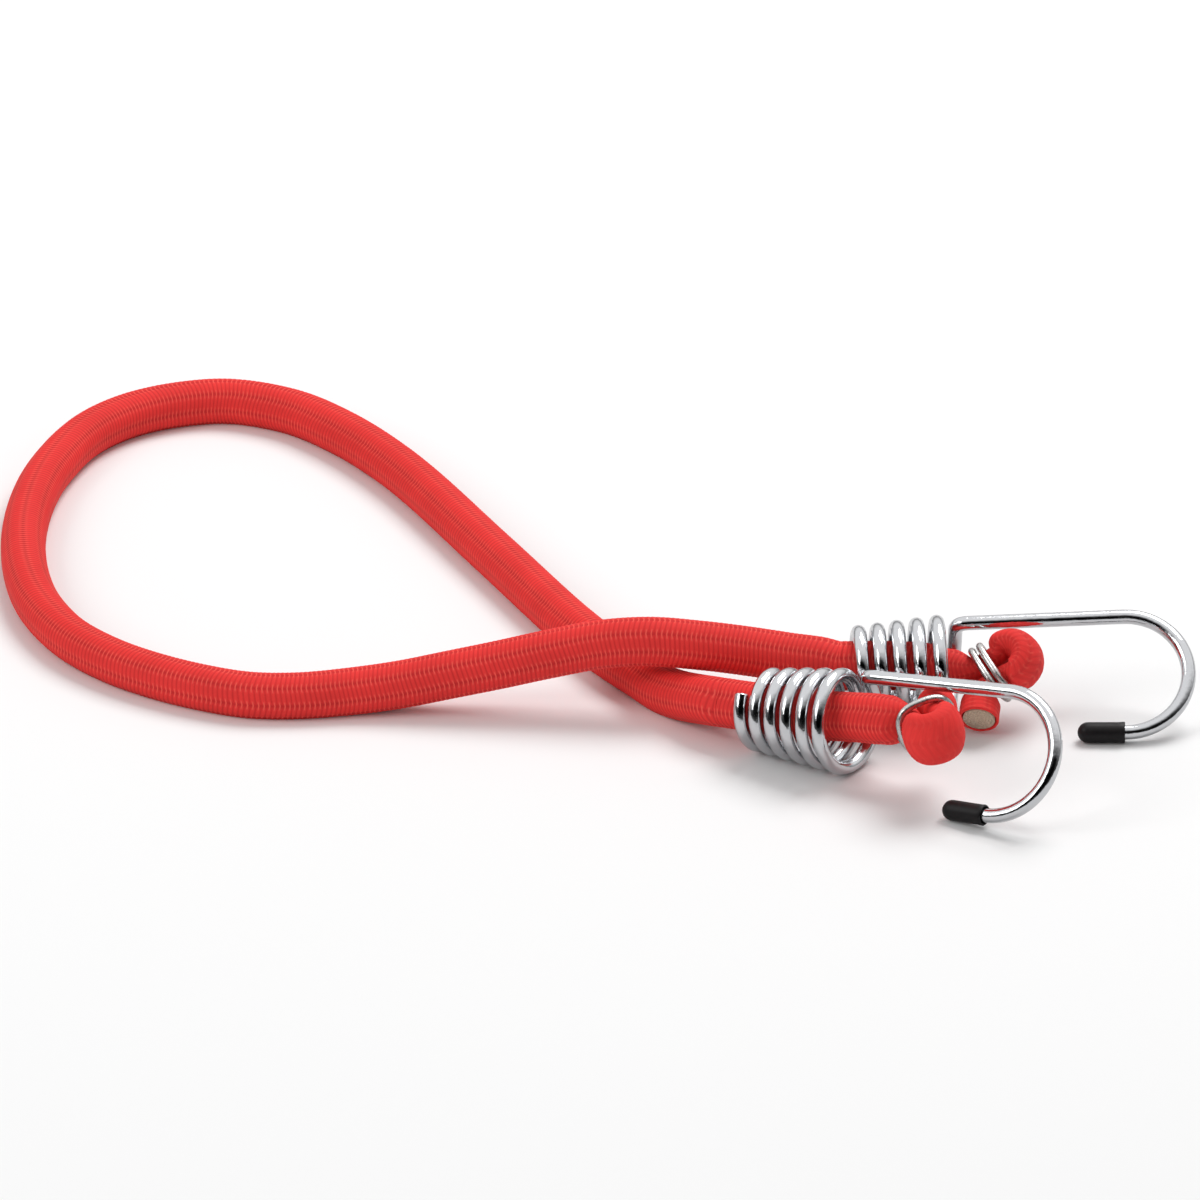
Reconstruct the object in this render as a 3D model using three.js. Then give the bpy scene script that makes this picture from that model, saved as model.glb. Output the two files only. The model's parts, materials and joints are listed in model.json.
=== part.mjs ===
// Elastic hook cord: one length of braided rubber cord, lying in an open loop on a table, with a
// chromed wire hook threaded on each end. Each cord end is folded back on itself and clamped by a
// wire ring, and the knob that this makes is too wide for the narrow end of the hook's coil.
// Millimetres, +Z up. The table is at Z = 0.
import * as THREE from "three";

// Cord: braided cover over a rubber core, a little thicker towards the hooks, where it is slack
const cordDiameter = 9.5;
const slackShare = 1.08;
const slackLength = 70;
const coverWall = 1.1;
const layerGap = 0.3;
const gripSqueeze = 0.2;

// Hook wire: conical coil, corner, shank and open bend. The shank spreads a little from the axis.
const wireDiameter = 2.9;
const coilFit = 0.5;
const coilFlare = 2.55;
const firstPitch = 3.65;
const lastPitch = 4.12;
const cornerRadius = 2.3;
const shankLength = 33;
const shankSpread = 2;
const bendRadius = 12.5;
const bendDegrees = 182.5;

// Vinyl cap on the hook's tip
const capLength = 9.4;
const capWall = 0.35;
const capFit = 0.25;
const capEndWall = 0.9;

// Folded cord end, as shares of the cord's diameter: the flattened strand's half sizes in the
// fold's plane and square to it, and the fold's radius
const clampedWidthShare = 0.22;
const clampedDepthShare = 0.39;
const foldWidthShare = 0.32;
const foldDepthShare = 0.58;
const foldRadiusShare = 0.337;
const tailWidthShare = 0.42;
const tailDepthShare = 0.432;
const strandGap = 0.5;

// Clamp ring: one and a half turns of wire, squeezed round both strands
const clampWireDiameter = 1.5;
const clampFit = 0.4;
const clampWireGap = 0.35;
const clampTurns = 1.42;
const clampSquareness = 2.8;
const clampStart = 194;

// Facets
const coilStepsPerTurn = 24;
const wireSides = 6;
const bendSteps = 15;
const cornerSteps = 4;
const shankSteps = 3;
const coverSides = 10;
const coreSides = 8;
const clampSides = 6;
const clampStepsPerTurn = 20;
const capSides = 12;
const capEndSteps = 3;
const foldArcSteps = 4;
const stepsPerFoldPoint = 2;
const loopSteps = 64;
const lengthSamplesPerStep = 20;

// A winding's direction is taken over this share of a step each way, and its gap to itself
// between points that lie at least this share of a turn apart
const slopeShare = 0.1;
const nextTurnShare = 0.8;

// How each end lies: the turns of its coil, where the coil starts over the table, which way its
// axis points (degrees round Z, then up from the table), and the route of its folded cord. The
// neck's points are seen from the coil's mouth, along its axis, with the neck's thickness there as
// shares of the gripped cord's. So are the clamp's place, the fold's direction and the way from its
// first strand to its second. The fold reaches beyond the clamp by a share of the cord's diameter.
// The cord runs through the coil a little above its axis: cordRise, in mm.
// The tail's points are seen from the clamp, along the fold, across it and out of its plane.
const ends = {
  front: {
    coilTurns: 5.75,
    coilStart: [-39.4, 7.7],
    heading: -31.1,
    tilt: 6.6,
    straightBehind: 6.5,
    cordRise: 0.25,
    neckRoute: [[-14, 0, 0.25], [-7, 0, 0.6], [0, 0, 1.2], [5, 0.1, 1.5], [8.2, 0.2, 1.6]],
    neckShares: [1, 1, 1, 1.02, 1],
    clampPlace: [16.8, 0, 2.1],
    foldAim: [0.72, -0.69, 0],
    foldAcross: [0.67, 0.7, 0.16],
    foldReachShare: 0.484,
    tailRoute: [[-4.6, 3.4, -0.2], [-7.2, 3.9, 0]],
  },
  rear: {
    coilTurns: 5.4,
    coilStart: [-21.05, 21.8],
    heading: -1.3,
    tilt: 1.2,
    straightBehind: 1.2,
    cordRise: 0.5,
    neckRoute: [[-14, 0, 0.5], [-7, 0, 0.2], [-1, 0, -0.3]],
    neckShares: [1, 0.98, 0.8],
    clampPlace: [7.3, -1.9, -0.35],
    foldAim: [0.84, 0.15, 0.516],
    foldAcross: [0.45, -0.744, -0.5],
    foldReachShare: 0.47,
    tailRoute: [[-5.2, 5, -0.9], [-6.8, 8.1, -2.2]],
  },
};

// The loop's route, chosen by hand from the front coil round to the rear one. It crosses over its
// own first stretch just before the rear coil.
const loopRoute = [
  [-56.9, 23.6, 4.2], [-63.1, 32.7, 4], [-69, 41.6, 3.9], [-76.6, 55.3, 3.8],
  [-91.9, 87.2, 3.8], [-111, 126, 3.8], [-123.3, 143.7, 3.8], [-133.5, 153.2, 3.8],
  [-145.7, 157.8, 3.8], [-155.8, 156.4, 3.8], [-166.2, 151.1, 3.8], [-174.5, 142, 3.8],
  [-181.1, 126.8, 3.8], [-184.6, 112.1, 3.8], [-186.2, 93.2, 3.8], [-185, 75.2, 3.8],
  [-181.9, 61.6, 3.8], [-175.7, 48.2, 3.8], [-167.7, 38.6, 3.8], [-159.6, 32.1, 3.8],
  [-149.7, 26.4, 3.8], [-139.8, 22.8, 3.8], [-129.8, 22.5, 3.8], [-120, 23.5, 4.3],
  [-110, 24, 5.6], [-100.2, 24.1, 7.7], [-90.4, 24.3, 9.8], [-80.4, 24.5, 12.1],
  [-70.5, 24.6, 14.1], [-60.6, 24.1, 15], [-50.6, 24, 14.2], [-41, 24, 12.9],
  [-32.4, 23.1, 11.9],
];

// Sizes worked out from the ones above
const cordRadius = cordDiameter / 2;
const wireRadius = wireDiameter / 2;
const slackRadius = cordRadius * slackShare;
const grippedRadius = slackRadius - gripSqueeze;
const narrowRadius = grippedRadius + coilFit + wireRadius;
const wideRadius = narrowRadius + coilFlare;
const boreShare = (cordRadius - coverWall) / cordRadius;
const clampedHalfWidth = cordDiameter * clampedWidthShare;
const clampedHalfDepth = cordDiameter * clampedDepthShare;
const foldHalfWidth = cordDiameter * foldWidthShare;
const foldHalfDepth = cordDiameter * foldDepthShare;
const foldRadius = cordDiameter * foldRadiusShare;
const tailHalfWidth = cordDiameter * tailWidthShare;
const tailHalfDepth = cordDiameter * tailDepthShare;
const strandOffset = clampedHalfWidth + strandGap / 2;
const clampWireRadius = clampWireDiameter / 2;
const clampPitch = clampWireDiameter + clampWireGap;
const clampReach = (clampTurns * clampPitch) / 2 + clampWireRadius + clampFit;
const fullTurn = 2 * Math.PI;

const up = new THREE.Vector3(0, 0, 1);
const forward = new THREE.Vector3(1, 0, 0);

function material(color, roughness, metalness) {
  return new THREE.MeshStandardMaterial({ color, roughness, metalness });
}

function namedMesh(name, geometry, surface) {
  const mesh = new THREE.Mesh(geometry, surface);
  mesh.name = name;
  return mesh;
}

// A station of a sweep: a place, the way along, and the way that its section's first point faces
function station(place, along, facing) {
  const tangent = along.clone().normalize();
  const normal = facing.clone().addScaledVector(tangent, -facing.dot(tangent)).normalize();
  return { place, tangent, normal, side: tangent.clone().cross(normal) };
}

// A ring of points round a station, from angles and half sizes along its normal and its side
function ringOf(at, angles, halfNormal, halfSide) {
  return angles.map((angle) =>
    at.place
      .clone()
      .addScaledVector(at.normal, halfNormal * Math.cos(angle))
      .addScaledVector(at.side, halfSide * Math.sin(angle)),
  );
}

function evenAngles(count, first = 0) {
  return Array.from({ length: count }, (_, i) => first + (i * fullTurn) / count);
}

// Joins rings into one closed skin. With inner rings the solid is a pipe, open at both ends.
function closedSweep(outer, inner = null) {
  const vertices = [];
  const triangles = [];
  const sides = outer[0].length;
  const last = outer.length - 1;
  const addRings = (rings) => vertices.push(...rings.flat()) - rings.flat().length;
  const addWall = (start, count, outwards) => {
    for (let i = 0; i < last; i += 1) {
      for (let j = 0; j < count; j += 1) {
        const a = start + i * count + j;
        const b = start + i * count + ((j + 1) % count);
        const c = a + count;
        const d = b + count;
        triangles.push(...(outwards ? [a, b, d, a, d, c] : [a, d, b, a, c, d]));
      }
    }
  };
  const outerStart = addRings(outer);
  addWall(outerStart, sides, true);
  if (inner === null) {
    for (let j = 1; j < sides - 1; j += 1) {
      triangles.push(outerStart, outerStart + j + 1, outerStart + j);
      const end = outerStart + last * sides;
      triangles.push(end, end + j, end + j + 1);
    }
  } else {
    const bore = inner[0].length;
    const innerStart = addRings(inner);
    addWall(innerStart, bore, false);
    addAnnulus(triangles, vertices, outerStart, sides, innerStart, bore, false);
    addAnnulus(triangles, vertices, outerStart + last * sides, sides, innerStart + last * bore, bore, true);
  }
  const geometry = new THREE.BufferGeometry();
  geometry.setAttribute(
    "position",
    new THREE.Float32BufferAttribute(vertices.flatMap((point) => point.toArray()), 3),
  );
  geometry.setIndex(triangles);
  geometry.computeVertexNormals();
  return geometry;
}

// Fills the end of a pipe between its outer ring and its bore, which may have different counts but
// start on the same side: each step takes the shorter of the two new edges
function addAnnulus(triangles, vertices, outerStart, outerCount, boreStart, boreCount, forwards) {
  let i = 0;
  let j = 0;
  const outerAt = (k) => outerStart + (k % outerCount);
  const boreAt = (k) => boreStart + (k % boreCount);
  const span = (a, b) => vertices[a].distanceTo(vertices[b]);
  while (i < outerCount || j < boreCount) {
    const canOuter = i < outerCount;
    const canBore = j < boreCount;
    const stepOuter =
      canOuter && (!canBore || span(outerAt(i + 1), boreAt(j)) <= span(outerAt(i), boreAt(j + 1)));
    const next = stepOuter ? outerAt(i + 1) : boreAt(j + 1);
    const face = [outerAt(i), next, boreAt(j)];
    triangles.push(...(forwards ? face : face.reverse()));
    if (stepOuter) i += 1;
    else j += 1;
  }
}

// Prints a wound wire's least gap to its next turn, from the stations of its centre line
function printLeastGap(label, stations, stepsPerTurn, diameter) {
  const apart = Math.round(stepsPerTurn * nextTurnShare);
  let least = Infinity;
  for (let i = 0; i < stations.length; i += 1) {
    for (let j = i + apart; j < stations.length; j += 1) {
      least = Math.min(least, stations[i].place.distanceTo(stations[j].place));
    }
  }
  console.log(`${label}'s least gap to itself ${(least - diameter).toFixed(2)} mm`);
}

// Hook wire, seen along the coil's axis: X runs out of the coil's wide end and Z points from the
// axis to the shank. The coil runs from its cut end, narrow to wide, and its last turn ends in a
// corner on top, where the shank starts.
function hookStations(coilTurns) {
  const stations = [];
  const steps = Math.round(coilTurns * coilStepsPerTurn);
  const cornerTurn = cornerRadius / wideRadius / fullTurn;
  const coilPoint = (turn) => {
    const share = turn / coilTurns;
    const radius = narrowRadius + coilFlare * share;
    const along = firstPitch * turn + ((lastPitch - firstPitch) * turn * share) / 2;
    const angle = fullTurn * (coilTurns - turn);
    return new THREE.Vector3(along, radius * Math.sin(angle), radius * Math.cos(angle));
  };
  const nudge = slopeShare / coilStepsPerTurn;
  const coilStation = (turn) => {
    const place = coilPoint(turn);
    const along = coilPoint(turn + nudge).sub(coilPoint(turn - nudge));
    return station(place, along, new THREE.Vector3(0, place.y, place.z));
  };
  const first = coilStation(0);
  const straightEnd = first.place.clone().addScaledVector(first.tangent, -wireRadius);
  stations.push(station(straightEnd, first.tangent, first.normal));
  for (let i = 0; i < steps; i += 1) {
    const turn = (i * (coilTurns - cornerTurn)) / (steps - 1);
    stations.push(coilStation(turn));
  }
  printLeastGap("coil", stations, coilStepsPerTurn, wireDiameter);
  const corner = coilPoint(coilTurns);
  const entry = stations[stations.length - 1].place;
  const spread = THREE.MathUtils.degToRad(shankSpread);
  const shankAim = new THREE.Vector3(Math.cos(spread), 0, Math.sin(spread));
  const shankOut = new THREE.Vector3(-Math.sin(spread), 0, Math.cos(spread));
  const exit = corner.clone().addScaledVector(shankAim, cornerRadius);
  const turnCurve = new THREE.QuadraticBezierCurve3(entry, corner, exit);
  for (let i = 1; i <= cornerSteps; i += 1) {
    const share = i / cornerSteps;
    stations.push(station(turnCurve.getPoint(share), turnCurve.getTangent(share), up));
  }
  const shankEnd = corner.clone().addScaledVector(shankAim, shankLength);
  for (let i = 1; i <= shankSteps; i += 1) {
    stations.push(station(exit.clone().lerp(shankEnd, i / shankSteps), shankAim, up));
  }
  const bendCentre = shankEnd.clone().addScaledVector(shankOut, -bendRadius);
  const bend = THREE.MathUtils.degToRad(bendDegrees);
  for (let i = 1; i <= bendSteps; i += 1) {
    const angle = (bend * i) / bendSteps;
    const outwards = shankAim.clone().multiplyScalar(Math.sin(angle)).addScaledVector(shankOut, Math.cos(angle));
    const along = shankAim.clone().multiplyScalar(Math.cos(angle)).addScaledVector(shankOut, -Math.sin(angle));
    stations.push(station(bendCentre.clone().addScaledVector(outwards, bendRadius), along, outwards));
  }
  const bendEnd = stations[stations.length - 1];
  const tip = bendEnd.place.clone().addScaledVector(bendEnd.tangent, capLength - capEndWall - layerGap);
  stations.push(station(tip, bendEnd.tangent, bendEnd.normal));
  return stations;
}

// The wire's section turns by half a facet along the shank, so that a point of it faces out of
// the coil and a flat faces into the bend, where a rail bears on it
function hookGeometry(stations) {
  const bendStart = stations.length - bendSteps - 2;
  const shankStart = bendStart - shankSteps;
  const rings = stations.map((at, i) => {
    const share = THREE.MathUtils.clamp((i - shankStart) / shankSteps, 0, 1);
    const first = (share * Math.PI) / wireSides;
    return ringOf(at, evenAngles(wireSides, first), wireRadius, wireRadius);
  });
  return closedSweep(rings);
}

// Cap: a cup with a round end, turned about its own axis and open towards the bend
function capGeometry() {
  const bore = wireRadius + capFit;
  const outside = bore + capWall;
  const profile = [
    new THREE.Vector2(0, capLength - capEndWall),
    new THREE.Vector2(bore, capLength - capEndWall),
    new THREE.Vector2(bore, 0),
    new THREE.Vector2(outside, 0),
  ];
  for (let i = 0; i <= capEndSteps; i += 1) {
    const angle = (i * Math.PI) / 2 / capEndSteps;
    const across = i === capEndSteps ? 0 : outside * Math.cos(angle);
    profile.push(new THREE.Vector2(across, capLength - outside + outside * Math.sin(angle)));
  }
  return new THREE.LatheGeometry(profile, capSides);
}

// Folded end: the cord runs straight through the coil, narrows into the clamp ring, folds back
// beyond it and comes back through the ring as a short cut tail
function endStations(end) {
  const mouth = forward.clone().multiplyScalar((end.coilTurns * (firstPitch + lastPitch)) / 2);
  const aim = new THREE.Vector3(...end.foldAim).normalize();
  const across = new THREE.Vector3(...end.foldAcross);
  across.addScaledVector(aim, -across.dot(aim)).normalize();
  const outOfPlane = aim.clone().cross(across);
  const clamp = mouth.clone().add(new THREE.Vector3(...end.clampPlace));
  const inFold = (b, w, n = 0) =>
    clamp.clone().addScaledVector(aim, b).addScaledVector(across, w).addScaledVector(outOfPlane, n);
  const points = [];
  const add = (place, halfWidth, halfDepth) => points.push({ place, halfWidth, halfDepth });
  add(new THREE.Vector3(-end.straightBehind, 0, end.cordRise), grippedRadius, grippedRadius);
  add(new THREE.Vector3(0, 0, end.cordRise), grippedRadius, grippedRadius);
  end.neckRoute.forEach((place, i) => {
    const radius = grippedRadius * end.neckShares[i];
    add(mouth.clone().add(new THREE.Vector3(...place)), radius, radius);
  });
  add(inFold(-clampReach, -strandOffset), clampedHalfWidth, clampedHalfDepth);
  add(inFold(0, -strandOffset), clampedHalfWidth, clampedHalfDepth);
  add(inFold(clampReach, -strandOffset), clampedHalfWidth, clampedHalfDepth);
  for (let i = 0; i <= foldArcSteps; i += 1) {
    const angle = (Math.PI * i) / foldArcSteps;
    const b = cordDiameter * end.foldReachShare + foldRadius * Math.sin(angle);
    add(inFold(b, -foldRadius * Math.cos(angle)), foldHalfWidth, foldHalfDepth);
  }
  add(inFold(clampReach, strandOffset), clampedHalfWidth, clampedHalfDepth);
  add(inFold(0, strandOffset), clampedHalfWidth, clampedHalfDepth);
  add(inFold(-clampReach, strandOffset), clampedHalfWidth, clampedHalfDepth);
  end.tailRoute.forEach((place) => add(inFold(...place), tailHalfWidth, tailHalfDepth));
  const curve = new THREE.CatmullRomCurve3(points.map((p) => p.place), false, "centripetal");
  const count = (points.length - 1) * stepsPerFoldPoint;
  const stations = [];
  for (let i = 0; i <= count; i += 1) {
    const share = i / count;
    const before = Math.min(Math.floor(share * (points.length - 1)), points.length - 2);
    const part = THREE.MathUtils.smoothstep(share * (points.length - 1) - before, 0, 1);
    const tangent = curve.getTangent(share);
    const at = station(curve.getPoint(share), tangent, outOfPlane.clone().cross(tangent));
    at.halfWidth = THREE.MathUtils.lerp(points[before].halfWidth, points[before + 1].halfWidth, part);
    at.halfDepth = THREE.MathUtils.lerp(points[before].halfDepth, points[before + 1].halfDepth, part);
    stations.push(at);
  }
  return { stations, inFold, aim };
}

function coverRings(stations) {
  return stations.map((at) => ringOf(at, evenAngles(coverSides), at.halfWidth, at.halfDepth));
}

function boreRings(stations) {
  return stations.map((at) =>
    ringOf(at, evenAngles(coreSides), at.halfWidth * boreShare, at.halfDepth * boreShare));
}

function coreRings(stations) {
  return stations.map((at) => {
    const halfWidth = at.halfWidth * boreShare - layerGap;
    const halfDepth = at.halfDepth * boreShare - layerGap;
    return ringOf(at, evenAngles(coreSides), halfWidth, halfDepth);
  });
}

// Clamp ring: wire wound flat round both strands, its ends lying side by side
function clampGeometry(fold) {
  const halfLong = strandOffset + clampedHalfWidth + clampFit + clampWireRadius;
  const halfShort = clampedHalfDepth + clampFit + clampWireRadius;
  const steps = Math.round(clampTurns * clampStepsPerTurn);
  const ovalPoint = (turn) => {
    const angle = THREE.MathUtils.degToRad(clampStart) + fullTurn * turn;
    const c = Math.cos(angle);
    const s = Math.sin(angle);
    const size = (Math.abs(c) ** clampSquareness + Math.abs(s) ** clampSquareness) ** (-1 / clampSquareness);
    return fold.inFold(clampPitch * (turn - clampTurns / 2), halfLong * c * size, halfShort * s * size);
  };
  const nudge = slopeShare / clampStepsPerTurn;
  const stations = [];
  for (let i = 0; i <= steps; i += 1) {
    const turn = (i * clampTurns) / steps;
    const along = ovalPoint(turn + nudge).sub(ovalPoint(turn - nudge));
    stations.push(station(ovalPoint(turn), along, fold.aim));
  }
  printLeastGap("clamp ring", stations, clampStepsPerTurn, clampWireDiameter);
  const angles = evenAngles(clampSides);
  return closedSweep(stations.map((at) => ringOf(at, angles, clampWireRadius, clampWireRadius)));
}

// Places an end's axis over the table. Its heading and tilt are given, its height lets the coil
// touch the table, and the hook then leans until its bend or cap touches the table too
function restingSeat(end, stations) {
  const capRadius = wireRadius + capFit + capWall;
  const bendStart = stations.length - bendSteps - 2;
  const coilPlaces = stations.slice(0, bendStart - shankSteps).map((at) => at.place);
  const bendPlaces = stations.slice(bendStart).map((at) => at.place);
  const seat = new THREE.Group();
  seat.rotation.order = "ZYX";
  seat.rotation.set(0, THREE.MathUtils.degToRad(-end.tilt), THREE.MathUtils.degToRad(end.heading));
  const heights = (places, lean) => {
    const turn = new THREE.Matrix4().makeRotationX(lean);
    const tilt = new THREE.Matrix4().makeRotationFromEuler(seat.rotation).multiply(turn);
    return places.map((place) => place.clone().applyMatrix4(tilt).z);
  };
  const heightAt = (lean) => wireRadius - Math.min(...heights(coilPlaces, lean));
  const bendClearance = (lean) => {
    const z = heights(bendPlaces, lean);
    const tipHeight = z[z.length - 1] - capRadius;
    return heightAt(lean) + Math.min(tipHeight, ...z.map((value) => value - wireRadius));
  };
  let upright = 0;
  let flat = -Math.PI / 2;
  const halvings = 30;
  for (let i = 0; i < halvings; i += 1) {
    const middle = (upright + flat) / 2;
    if (bendClearance(middle) < 0) upright = middle;
    else flat = middle;
  }
  const lean = (upright + flat) / 2;
  seat.position.set(...end.coilStart, heightAt(lean));
  seat.updateMatrixWorld();
  return { seat, lean };
}

// Loop: from the front coil's narrow end, square to it, to the rear one's
function loopStations(front, rear) {
  const lead = cordRadius / 2;
  const points = [front.start, front.start.clone().addScaledVector(front.along, -lead)];
  loopRoute.forEach((place) => points.push(new THREE.Vector3(...place)));
  points.push(rear.start.clone().addScaledVector(rear.along, -lead), rear.start);
  const curve = new THREE.CatmullRomCurve3(points, false, "centripetal");
  curve.arcLengthDivisions = loopSteps * lengthSamplesPerStep;
  const stations = [];
  for (let i = 0; i <= loopSteps; i += 1) {
    const share = i / loopSteps;
    stations.push(station(curve.getPointAt(share), curve.getTangentAt(share), up));
  }
  stations[0] = station(front.start, front.along.clone().negate(), up);
  stations[loopSteps] = station(rear.start, rear.along, up);
  stations.forEach((at, i) => {
    const fromHook = (curve.getLength() * Math.min(i, loopSteps - i)) / loopSteps;
    const slack = 1 - THREE.MathUtils.smoothstep(fromHook, 0, slackLength);
    at.radius = THREE.MathUtils.lerp(cordRadius, grippedRadius, slack);
  });
  console.log("loop's length", curve.getLength().toFixed(1), "mm");
  return stations;
}

// The cover's section: a circle whose lowest side is a chord, level with the table where the
// cord lies on it and a plain facet elsewhere
function loopCoverRing(at) {
  const facet = Math.cos(Math.PI / (coverSides + 2));
  const chord = Math.min(at.place.z / at.radius, facet);
  const widest = Math.acos(-chord);
  const angles = Array.from({ length: coverSides + 2 }, (_, i) => widest * ((2 * i) / (coverSides + 1) - 1));
  return ringOf(at, angles, at.radius, at.radius);
}

const object = new THREE.Group();
const red = { color: 0xe0322d, roughness: 0.7, metalness: 0 };
const rubber = { color: 0xb09a80, roughness: 0.9, metalness: 0 };
const chrome = { color: 0xd6d8da, roughness: 0.15, metalness: 1 };
const vinyl = { color: 0x1a1718, roughness: 0.5, metalness: 0 };
const surface = (look) => material(look.color, look.roughness, look.metalness);

const loopEnds = {};

for (const [name, end] of Object.entries(ends)) {
  const wireStations = hookStations(end.coilTurns);
  const bendEnd = wireStations[wireStations.length - 2];
  const { seat, lean } = restingSeat(end, wireStations);
  const leanDegrees = THREE.MathUtils.radToDeg(lean).toFixed(1);
  console.log(`${name} hook leans ${leanDegrees} degrees, its axis starts ${seat.position.z.toFixed(2)} mm up`);
  const hook = new THREE.Group();
  hook.rotation.x = lean;
  hook.add(namedMesh(`${name}_hook_wire`, hookGeometry(wireStations), surface(chrome)));
  const cap = namedMesh(`${name}_tip_cap`, capGeometry(), surface(vinyl));
  cap.quaternion.setFromUnitVectors(new THREE.Vector3(0, 1, 0), bendEnd.tangent);
  cap.position.copy(bendEnd.place);
  hook.add(cap);
  seat.add(hook);
  const fold = endStations(end);
  const cover = closedSweep(coverRings(fold.stations), boreRings(fold.stations));
  seat.add(namedMesh(`${name}_end_cover`, cover, surface(red)));
  seat.add(namedMesh(`${name}_end_core`, closedSweep(coreRings(fold.stations)), surface(rubber)));
  seat.add(namedMesh(`${name}_clamp_ring`, clampGeometry(fold), surface(chrome)));
  object.add(seat);
  loopEnds[name] = {
    start: new THREE.Vector3(-end.straightBehind - layerGap, 0, end.cordRise).applyMatrix4(seat.matrixWorld),
    along: forward.clone().transformDirection(seat.matrixWorld),
  };
}

const loop = loopStations(loopEnds.front, loopEnds.rear);
const flatDown = Math.PI / coreSides - Math.PI;
const coreAngles = evenAngles(coreSides, flatDown);
const loopBore = (at) => at.radius * boreShare;
const roundRings = (inset) =>
  loop.map((at) => ringOf(at, coreAngles, loopBore(at) - inset, loopBore(at) - inset));
const loopCover = closedSweep(loop.map(loopCoverRing), roundRings(0));
object.add(namedMesh("loop_cover", loopCover, surface(red)));
object.add(namedMesh("loop_core", closedSweep(roundRings(layerGap)), surface(rubber)));

export default object;
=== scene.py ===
# %% [markdown]
# # A bungee cord
# One length of braided elastic cord lies in an open loop on a table. Each of its ends runs through
# the coil of a chromed wire hook, is folded back on itself and is clamped by a wire ring. The knob
# that this makes is too wide for the narrow end of the coil, so the hook can't come off.
# The solids come from CAD. This notebook dresses them: every piece is made again at the same place
# with the detail that the real one shows.

# %% Load the frame
import json
import math

import bpy
import numpy as np
from mathutils import Matrix, Vector


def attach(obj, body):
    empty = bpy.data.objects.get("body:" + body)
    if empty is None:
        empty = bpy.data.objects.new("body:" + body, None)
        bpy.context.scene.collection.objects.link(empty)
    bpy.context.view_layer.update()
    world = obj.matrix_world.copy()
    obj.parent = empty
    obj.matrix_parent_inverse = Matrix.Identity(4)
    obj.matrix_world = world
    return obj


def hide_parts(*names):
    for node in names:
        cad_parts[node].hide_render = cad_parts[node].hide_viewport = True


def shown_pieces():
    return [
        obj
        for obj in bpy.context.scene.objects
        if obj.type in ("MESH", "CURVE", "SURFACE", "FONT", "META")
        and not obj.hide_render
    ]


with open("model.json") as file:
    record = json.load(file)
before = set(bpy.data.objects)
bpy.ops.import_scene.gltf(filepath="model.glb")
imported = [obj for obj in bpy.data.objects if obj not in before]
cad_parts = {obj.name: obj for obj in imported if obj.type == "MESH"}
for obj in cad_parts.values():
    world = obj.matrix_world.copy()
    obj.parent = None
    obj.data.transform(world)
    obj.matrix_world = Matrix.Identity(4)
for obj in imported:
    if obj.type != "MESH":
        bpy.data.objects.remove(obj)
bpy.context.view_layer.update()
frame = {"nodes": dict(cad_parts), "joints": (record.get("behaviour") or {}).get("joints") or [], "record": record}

MM = 0.001
UP = np.array([0.0, 0.0, 1.0])
bpy.ops.object.select_all(action="DESELECT")
print("CAD nodes:", ", ".join(sorted(frame["nodes"])))

# %% [markdown]
# ## Camera
# The photograph is taken from far away with a long lens, so that the cord hardly gets smaller
# towards the back. A camera 4.5 m away that takes in 240 mm of the table gives the same look. The
# Standard view shows each colour as it is written.

# %% Camera
SCENE = bpy.context.scene
LOOK_AT = Vector((-0.0705, 0.0736, 0.0))
ELEVATION = math.radians(26.0)
DISTANCE = 4.5
FRAME_WIDTH = 0.24
BACK = Vector((0.0, -math.cos(ELEVATION), math.sin(ELEVATION)))

bpy.ops.object.camera_add(location=LOOK_AT + BACK * DISTANCE)
camera = bpy.context.object
camera.name = "camera"
camera.rotation_euler = (-BACK).to_track_quat("-Z", "Y").to_euler()
camera.data.lens = camera.data.sensor_width * DISTANCE / FRAME_WIDTH
camera.data.clip_end = 20.0
SCENE.camera = camera
SCENE.view_settings.view_transform = "Standard"
print("lens", round(camera.data.lens), "mm")

# %% [markdown]
# ## How each end lies
# The hooks lie flat on the table, each on its coil and its bend. The swivel joints of the CAD model
# give where each coil starts and which way its axis points: they turn about the cord, which runs a
# fraction of a millimetre above the coil's own axis. A hook's shank lies to one side of that axis,
# and that side is found from the place where a rail bears on the bend. The table holds what differs
# between the two ends. Its places are millimetres along, beside and above the coil's axis, and for
# a tail along, across and out of the fold.

# %% Where the two ends lie
ENDS = {
    "front": {
        "coil_turns": 5.75,
        "straight_behind": 6.5,
        "cord_rise": 0.25,
        "neck_route": [[-14, 0, 0.25], [-7, 0, 0.6], [0, 0, 1.2], [5, 0.1, 1.5], [8.2, 0.2, 1.6]],
        "neck_shares": [1, 1, 1, 1.02, 1],
        "clamp_place": [16.8, 0, 2.1],
        "fold_aim": [0.72, -0.69, 0],
        "fold_across": [0.67, 0.7, 0.16],
        "fold_reach": 0.484,
        "tail_route": [[-4.6, 3.4, -0.4], [-7.2, 4, -0.4]],
    },
    "rear": {
        "coil_turns": 5.4,
        "straight_behind": 1.2,
        "cord_rise": 0.5,
        "neck_route": [[-14, 0, 0.5], [-7, 0, 0.2], [-1, 0, -0.3]],
        "neck_shares": [1, 0.98, 0.8],
        "clamp_place": [7.3, -1.9, -0.35],
        "fold_aim": [0.84, 0.15, 0.516],
        "fold_across": [0.45, -0.744, -0.5],
        "fold_reach": 0.47,
        "tail_route": [[-5.2, 5, -0.9], [-6.8, 8.1, -2.2]],
    },
}


def unit(vector):
    return vector / np.linalg.norm(vector, axis=-1, keepdims=True)


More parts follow.
